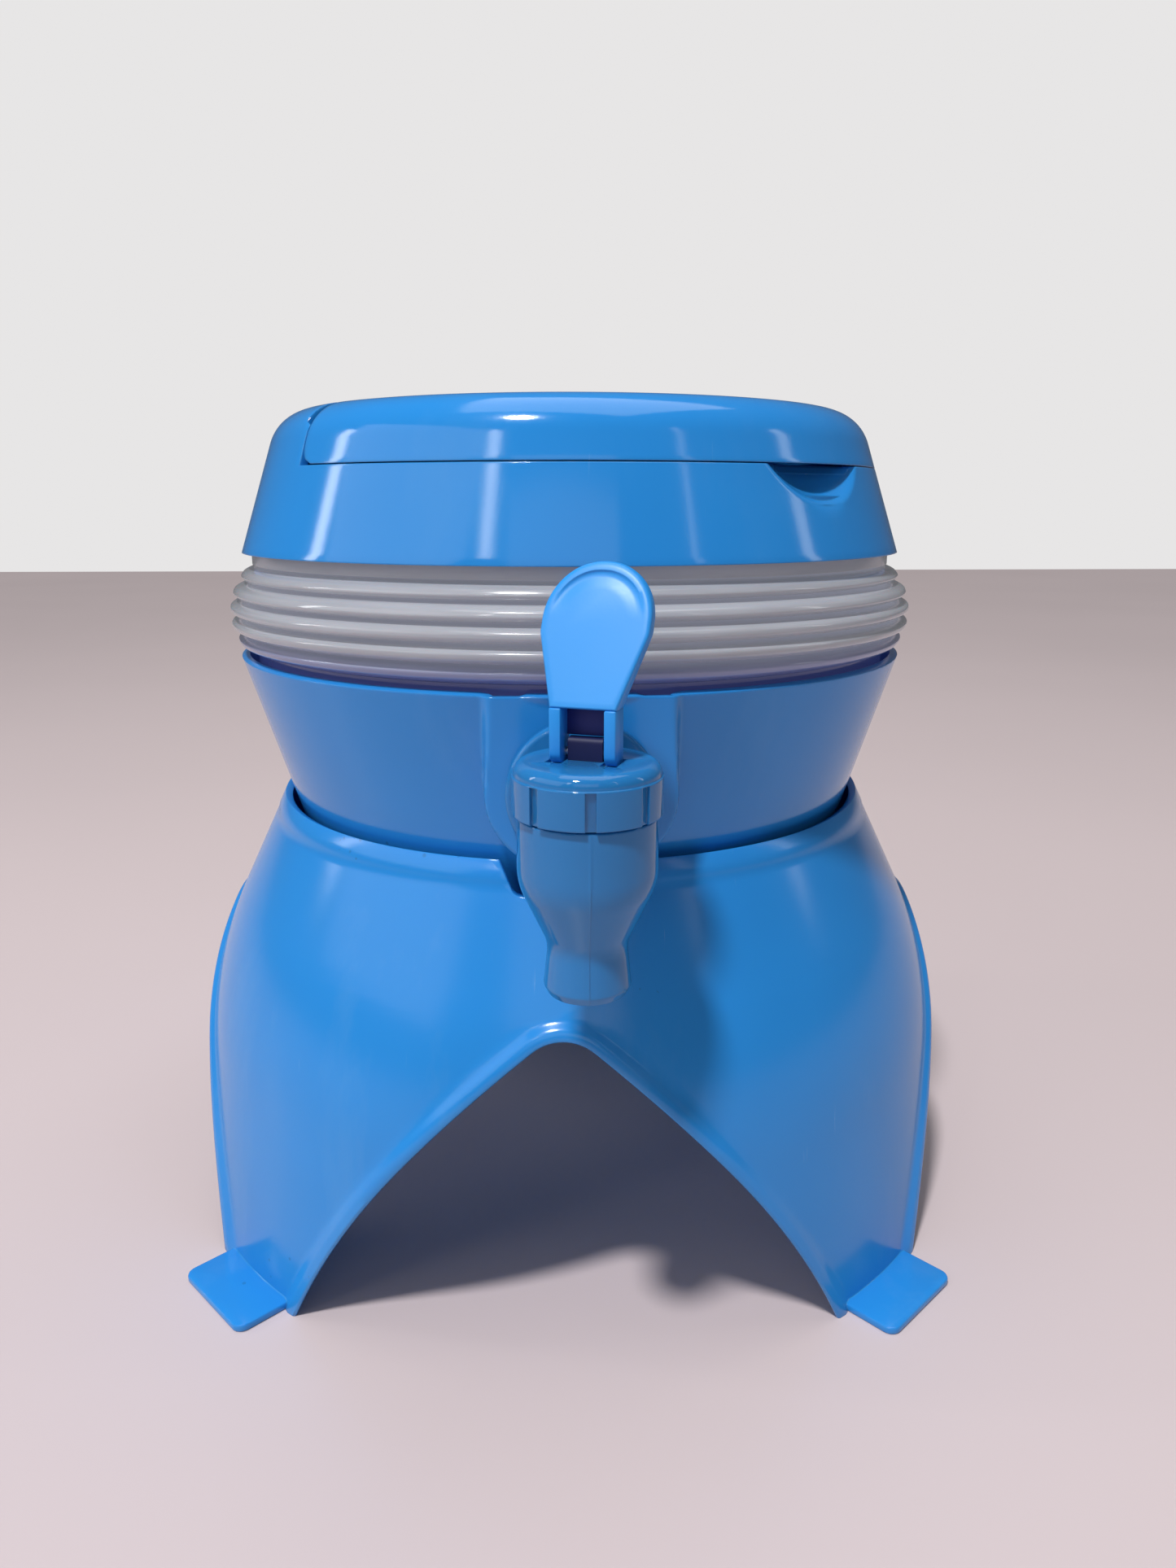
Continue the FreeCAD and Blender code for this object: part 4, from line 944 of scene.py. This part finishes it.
tapSize = {
    "reach": 127, "turn": -20, "shankHeight": 141, "angleStep": radians(3),
    "lineProud": 0.1, "lineHalf": radians(0.9), "lineFrom": 107.5, "lineTo": 144, "lineOutside": 7.5,
    "nib": 0.45, "nibAt": (7.2, -5.2, 108.6),
    "grooves": 8, "grooveWidth": 2.1, "grooveDepth": 0.8, "grooveTop": 153.0, "capBase": 145.3,
    "capRadius": 15.2, "capEase": 0.22, "crown": 156, "cutOver": 2,
    "pocketFloor": 155.2, "pocketApart": 5.6, "pocketHalf": 1.7, "pocketFront": -4.77, "pocketBack": 2.53,
    "slotHalf": (3.68, 1.68), "slotDepth": 4,
}
# outlines: radius, height and the corner's own radius
barrelLine = ((6.2, 106.8), (8.3, 106.8, 0.5), (9.2, 108.6, 1.2), (8.2, 117.6, 8), (14.4, 131, 14),
              (14.2, 144.9, 0.4), (12.7, 144.9), (12.7, 150.8), (10.6, 150.8), (10.6, 130),
              (8.9, 123.2), (6.2, 123.2))
shankLine = ((3.4, -116), (6.8, -116), (6.8, -100.5, 0.8), (17.5, -100.5, 1.2), (17.5, -97.5, 0.4),
             (6.8, -97.5), (6.8, -83.8), (3.4, -83.8))
capLine = ((13.05, 145.3), (15.2, 145.3, 0.35), (15.2, 153.2, 0.3), (14.85, 153.3), (14.85, 156, 2.4),
           (0, 156), (0, 154), (7, 154), (7, 151.2), (13.05, 151.2))


def tapLineAngles(size):
    # even turns with a fine moulding line down the front
    fine = [-size["lineHalf"] * k / 2 for k in (2, 1, 0, -1, -2)]
    count = round(2 * pi / size["angleStep"])
    return sorted(fine + [size["angleStep"] * k for k in range(1, count)])


def ontoTap(piece, size):
    # from the upright axis to the tap's own, turned as the lever is
    piece.data.transform(Matrix.Translation((0, -size["reach"] * mm, 0))
                         @ Matrix.Rotation(radians(size["turn"]), 4, "Z"))


def makeTapBody(size):
    narrow = size["lineHalf"] * 0.6

    def mouldLine(point, angle):
        onLine = abs(angle) < narrow and size["lineFrom"] < point.y < size["lineTo"]
        return size["lineProud"] if onLine and point.x > size["lineOutside"] else 0

    bm = bmesh.new()
    turnedOn(bm, roundedLine(barrelLine, radians(5)), tapLineAngles(size), mouldLine)
    spun(bm, shift=(0, -size["reach"], 0))
    body = asObject("tapBarrel", bm)
    fitting = bmesh.new()
    turnedOn(fitting, roundedLine(shankLine), evenAngles(96))
    tipped(fitting, -pi / 2, "X")
    spun(fitting, shift=(0, 0, size["shankHeight"]))
    nib = bmesh.new()
    bmesh.ops.create_icosphere(nib, subdivisions=2, radius=size["nib"])
    x, y, z = size["nibAt"]
    spun(nib, shift=(x, -size["reach"] + y, z))
    joinedTo(body, [asObject("tapShank", fitting), asObject("nib", nib)])
    dressed(body, tapBlue, "bottle", ["tap_body"])


def makeTapCap(size):
    bm = bmesh.new()
    turnedOn(bm, roundedLine(capLine), evenAngles(192))
    cap = asObject("tapCap", bm)
    over = size["crown"] + size["cutOver"]
    groove = bmesh.new()
    edge, half = size["capRadius"], size["grooveWidth"] / 2
    blockOn(groove, (edge - size["grooveDepth"], -half, size["capBase"] - 1),
            (edge + size["cutOver"], half, size["grooveTop"]))
    blank = asObject("grooveBlank", groove)
    cutters = grown("grooves", ringTree, {"Shape": blank, "Count": size["grooves"],
                                          "Start": -pi / 2 - radians(size["turn"])})
    bpy.data.objects.remove(blank)
    cutBy(cap, cutters)
    pockets = bmesh.new()
    for sign in (-1, 1):
        middle = sign * size["pocketApart"]
        blockOn(pockets, (middle - size["pocketHalf"], size["pocketFront"], size["pocketFloor"]),
                (middle + size["pocketHalf"], size["pocketBack"], over))
    cutBy(cap, asObject("pockets", pockets))
    slot = bmesh.new()
    wide, deep = size["slotHalf"]
    blockOn(slot, (-wide, -deep, size["crown"] - size["slotDepth"]), (wide, deep, over))
    cutBy(cap, asObject("slot", slot))
    eased(cap, size["capEase"], angle=50)
    ontoTap(cap, size)
    dressed(cap, tapBlue, "bottle", ["tap_cap"])


makeTapBody(tapSize)
makeTapCap(tapSize)
print("tap made")


# Lever: a leaning paddle with a dished head, on two legs

leverSize = {
    "base": 155.35, "crease": 166.55, "top": 193.75, "front": -3.774, "back": 2.026, "lean": 28,
    "tip": 2.6, "baseWidth": 13.6, "headWidth": 22.4, "headDrop": 1.2, "headRound": 0.97, "window": 8.8,
    "webDrop": 5.85, "webThickness": 1.4, "webTuck": 0.3, "heelRound": 2.374,
    "dishDepth": 0.55, "dishReach": 10.5, "dishEase": 0.7, "legEase": 0.3,
}
# steps in from the paddle's outline: distance, depth of the rounded edge, share of the dish
paddleSteps = ((0, 0.8, 0), (0.1, 0.4, 0), (0.35, 0.12, 0), (0.8, 0, 0), (1.5, 0, 0), (1.8, 0, 0.6),
               (2.2, 0, 1), (3.0, 0, 0.85), (4.0, 0, 0.35), (5.2, 0, 0))
backSteps = ((0, 0.6), (0.18, 0.18), (0.6, 0))


def insetBy(outline, distance):
    moved = []
    for k, here in enumerate(outline):
        before = (here - outline[k - 1]).normalized()
        after = (outline[(k + 1) % len(outline)] - here).normalized()
        normal = Vector((-before.y - after.y, before.x + after.x)).normalized()
        moved.append(here + normal * distance / max(0.3, normal.dot(Vector((-after.y, after.x)))))
    return moved


def makePaddle(size):
    base, head = size["baseWidth"] / 2, size["headWidth"] / 2
    top, crease = size["top"], size["crease"]
    half = roundedLine([(base, crease), (head, top - head * size["headDrop"], size["headWidth"] / 4),
                        (head, top, head * size["headRound"]), (0, top)], radians(4))[:-1]
    outline = half + [Vector((-p.x, p.y)) for p in reversed(half)]

    def frontAt(z):
        return size["front"] + (z - crease) * tan(radians(size["lean"]))

    def backAt(z):
        tipBack = frontAt(top) + size["tip"]
        return size["back"] + (tipBack - size["back"]) * (z - crease) / (top - crease)

    bm = bmesh.new()
    rings = []
    dishFoot = top - size["dishReach"]
    for distance, depth, dish in paddleSteps:
        ring = []
        for p in insetBy(outline, distance):
            rise = max(0, min(1, (p.y - dishFoot) / (size["dishReach"] * size["dishEase"])))
            sunk = depth + smoothed(size["dishDepth"] * dish, rise)
            ring.append(bm.verts.new((p.x, frontAt(p.y) + sunk, p.y)))
        rings.insert(0, ring)
    for distance, depth in backSteps:
        rings.append([bm.verts.new((p.x, backAt(p.y) - depth, p.y)) for p in insetBy(outline, distance)])
    sheetRows(bm, [ring + ring[:1] for ring in rings])
    bm.faces.new(rings[0])
    bm.faces.new(rings[-1])
    bmesh.ops.recalc_face_normals(bm, faces=bm.faces)
    return asObject("tapLever", bm)


def leverLegs(size):
    legs = bmesh.new()
    front, back, base, crease = size["front"], size["back"], size["base"], size["crease"]
    profile = roundedLine([(back, base), (front, base, size["heelRound"]), (front, crease),
                           (back, crease)], radians(9))
    for sign in (-1, 1):
        low, high = sorted((sign * size["window"] / 2, sign * size["baseWidth"] / 2))
        pushedOn(legs, profile, low, high, across=True)
    return eased(asObject("legs", legs), size["legEase"], angle=50)


def leverWeb(size):
    web = bmesh.new()
    wide = size["window"] / 2 + size["webTuck"]
    blockOn(web, (-wide, size["back"] - size["webThickness"], size["crease"] - size["webDrop"]),
            (wide, size["back"], size["crease"]))
    return eased(asObject("leverWeb", web), size["legEase"] / 2, angle=50)


def makeLever(size):
    paddle = makePaddle(size)
    joinedTo(paddle, [leverLegs(size)])
    web = leverWeb(size)
    for piece in (paddle, web):
        ontoTap(piece, tapSize)
    dressed(paddle, leverBlue, "lever", ["tap_lever"])
    # painted shade: the web behind the window is dark navy for the window's shade
    dressed(web, paintedShadeNavy, "lever", [])


makeLever(leverSize)
print("lever made")


# Small and inner pieces keep their own shapes

innerFinish = (
    (whitePlastic, ("lower_clamp_ring", "neck_ring")),
    (sealRubber, ("lower_seal", "neck_gasket", "seat_cup", "outer_washer", "inner_washer")),
    (tapBlue, ("shank_nut",)),
    (stemNavy, ("plunger_stem",)),
    (steel, ("lever_pin", "lid_hinge_pin")),
)
for finish, nodes in innerFinish:
    for node in nodes:
        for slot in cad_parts[node].material_slots:
            slot.material = finish

# the spring closes up between the cap it stays against and the stem that lifts; here it is a welded copy of
# its node, on no body
spring = dressed(weldedCopy("springCoil", "plunger_spring"), steel, None, ["plunger_spring"], 60)
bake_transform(spring)
print("inner pieces dressed")


# Floor, light and camera

stageLook = {
    "floor": (0.60, 0.51, 0.52), "floorRough": 0.34, "floorHalf": 3000, "floorDepth": 20,
    "backdrop": (0.80, 0.79, 0.79), "ambient": 0.1, "aim": (0, 0, 0.12),
    "keyFrom": (-27.5, -43, 107), "keySpread": radians(5.4), "keyPower": 2.65,
}
# soft panels: name, place, width, height, power
panels = (
    ("window", (-1.03, -0.50, 0.73), 1.1, 0.8, 2.9),
    ("frontFill", (-0.1, -1.4, 0.8), 0.9, 0.7, 1.5),
    ("leftBar", (-1.17, 0.086, 0.62), 0.1, 0.5, 1.2),
    ("frontBar", (-0.454, -0.785, 0.80), 0.066, 0.2, 0.35),
    ("rightBar", (0.66, -0.77, 0.78), 0.05, 0.5, 0.16),
    ("sideBar", (1.07, -0.11, 0.61), 0.09, 0.5, 0.4),
    ("overhead", (0.05, 0.12, 1.3), 0.9, 0.9, 4.5),
)
# fitted to the photograph: metres and degrees
cameraLook = {"lens": 25.03, "sensor": 36, "near": 0.01,
              "at": (-0.00835, -0.33653, 0.20561), "tilt": 75.392, "turn": -2.305}


def makeFloor(look):
    material, graph, place = newFinish("paleFloor")
    cloud = graph.noise(place, 3, 2)
    base = graph.blend(cloud, tinted(look["floor"], 0.98), tinted(look["floor"], 1.02))
    closeFinish(graph, {"Base Color": base, "Roughness": look["floorRough"] + 0.04 * cloud})
    bm = bmesh.new()
    half = look["floorHalf"]
    blockOn(bm, (-half, -half, -look["floorDepth"]), (half, half, 0))
    floor = asObject("floor", bm)
    floor.data.materials.append(material)


def makeWorld(look):
    world = bpy.data.worlds.new("studio")
    world.use_nodes = True
    world.node_tree.nodes.clear()
    graph = Graph(world.node_tree)
    seen = graph.add("ShaderNodeLightPath", out="Is Camera Ray")
    soft = graph.add("ShaderNodeBackground", {"Color": (1, 1, 1, 1), "Strength": look["ambient"]})
    pale = graph.add("ShaderNodeBackground", {"Color": look["backdrop"] + (1,), "Strength": 1.0})
    mixed = graph.add("ShaderNodeMixShader", {0: seen, 1: soft, 2: pale})
    graph.add("ShaderNodeOutputWorld", {"Surface": mixed})
    bpy.context.scene.world = world


def makeKey(look):
    key = bpy.data.lights.new("key", "SUN")
    key.angle = look["keySpread"]
    key.energy = look["keyPower"]
    sun = linked("key", key)
    sun.rotation_euler = Vector(look["keyFrom"]).to_track_quat("Z", "Y").to_euler()


def makePanel(name, at, width, tall, power, aim):
    light = bpy.data.lights.new(name, "AREA")
    light.shape = "RECTANGLE"
    light.size = width
    light.size_y = tall
    light.energy = power
    panel = linked(name, light)
    panel.visible_camera = False
    panel.location = at
    panel.rotation_euler = (Vector(aim) - Vector(at)).to_track_quat("-Z", "Y").to_euler()


def makeCamera(look):
    camera = bpy.data.cameras.new("view")
    camera.sensor_fit = "VERTICAL"
    camera.sensor_height = look["sensor"]
    camera.lens = look["lens"]
    camera.clip_start = look["near"]
    viewer = linked("view", camera)
    viewer.location = look["at"]
    viewer.rotation_euler = (radians(look["tilt"]), 0, radians(look["turn"]))
    bpy.context.scene.camera = viewer


makeFloor(stageLook)
makeWorld(stageLook)
makeKey(stageLook)
for panel in panels:
    makePanel(*panel, stageLook["aim"])
makeCamera(cameraLook)
bpy.context.scene.view_settings.view_transform = "Standard"
print("stage set")
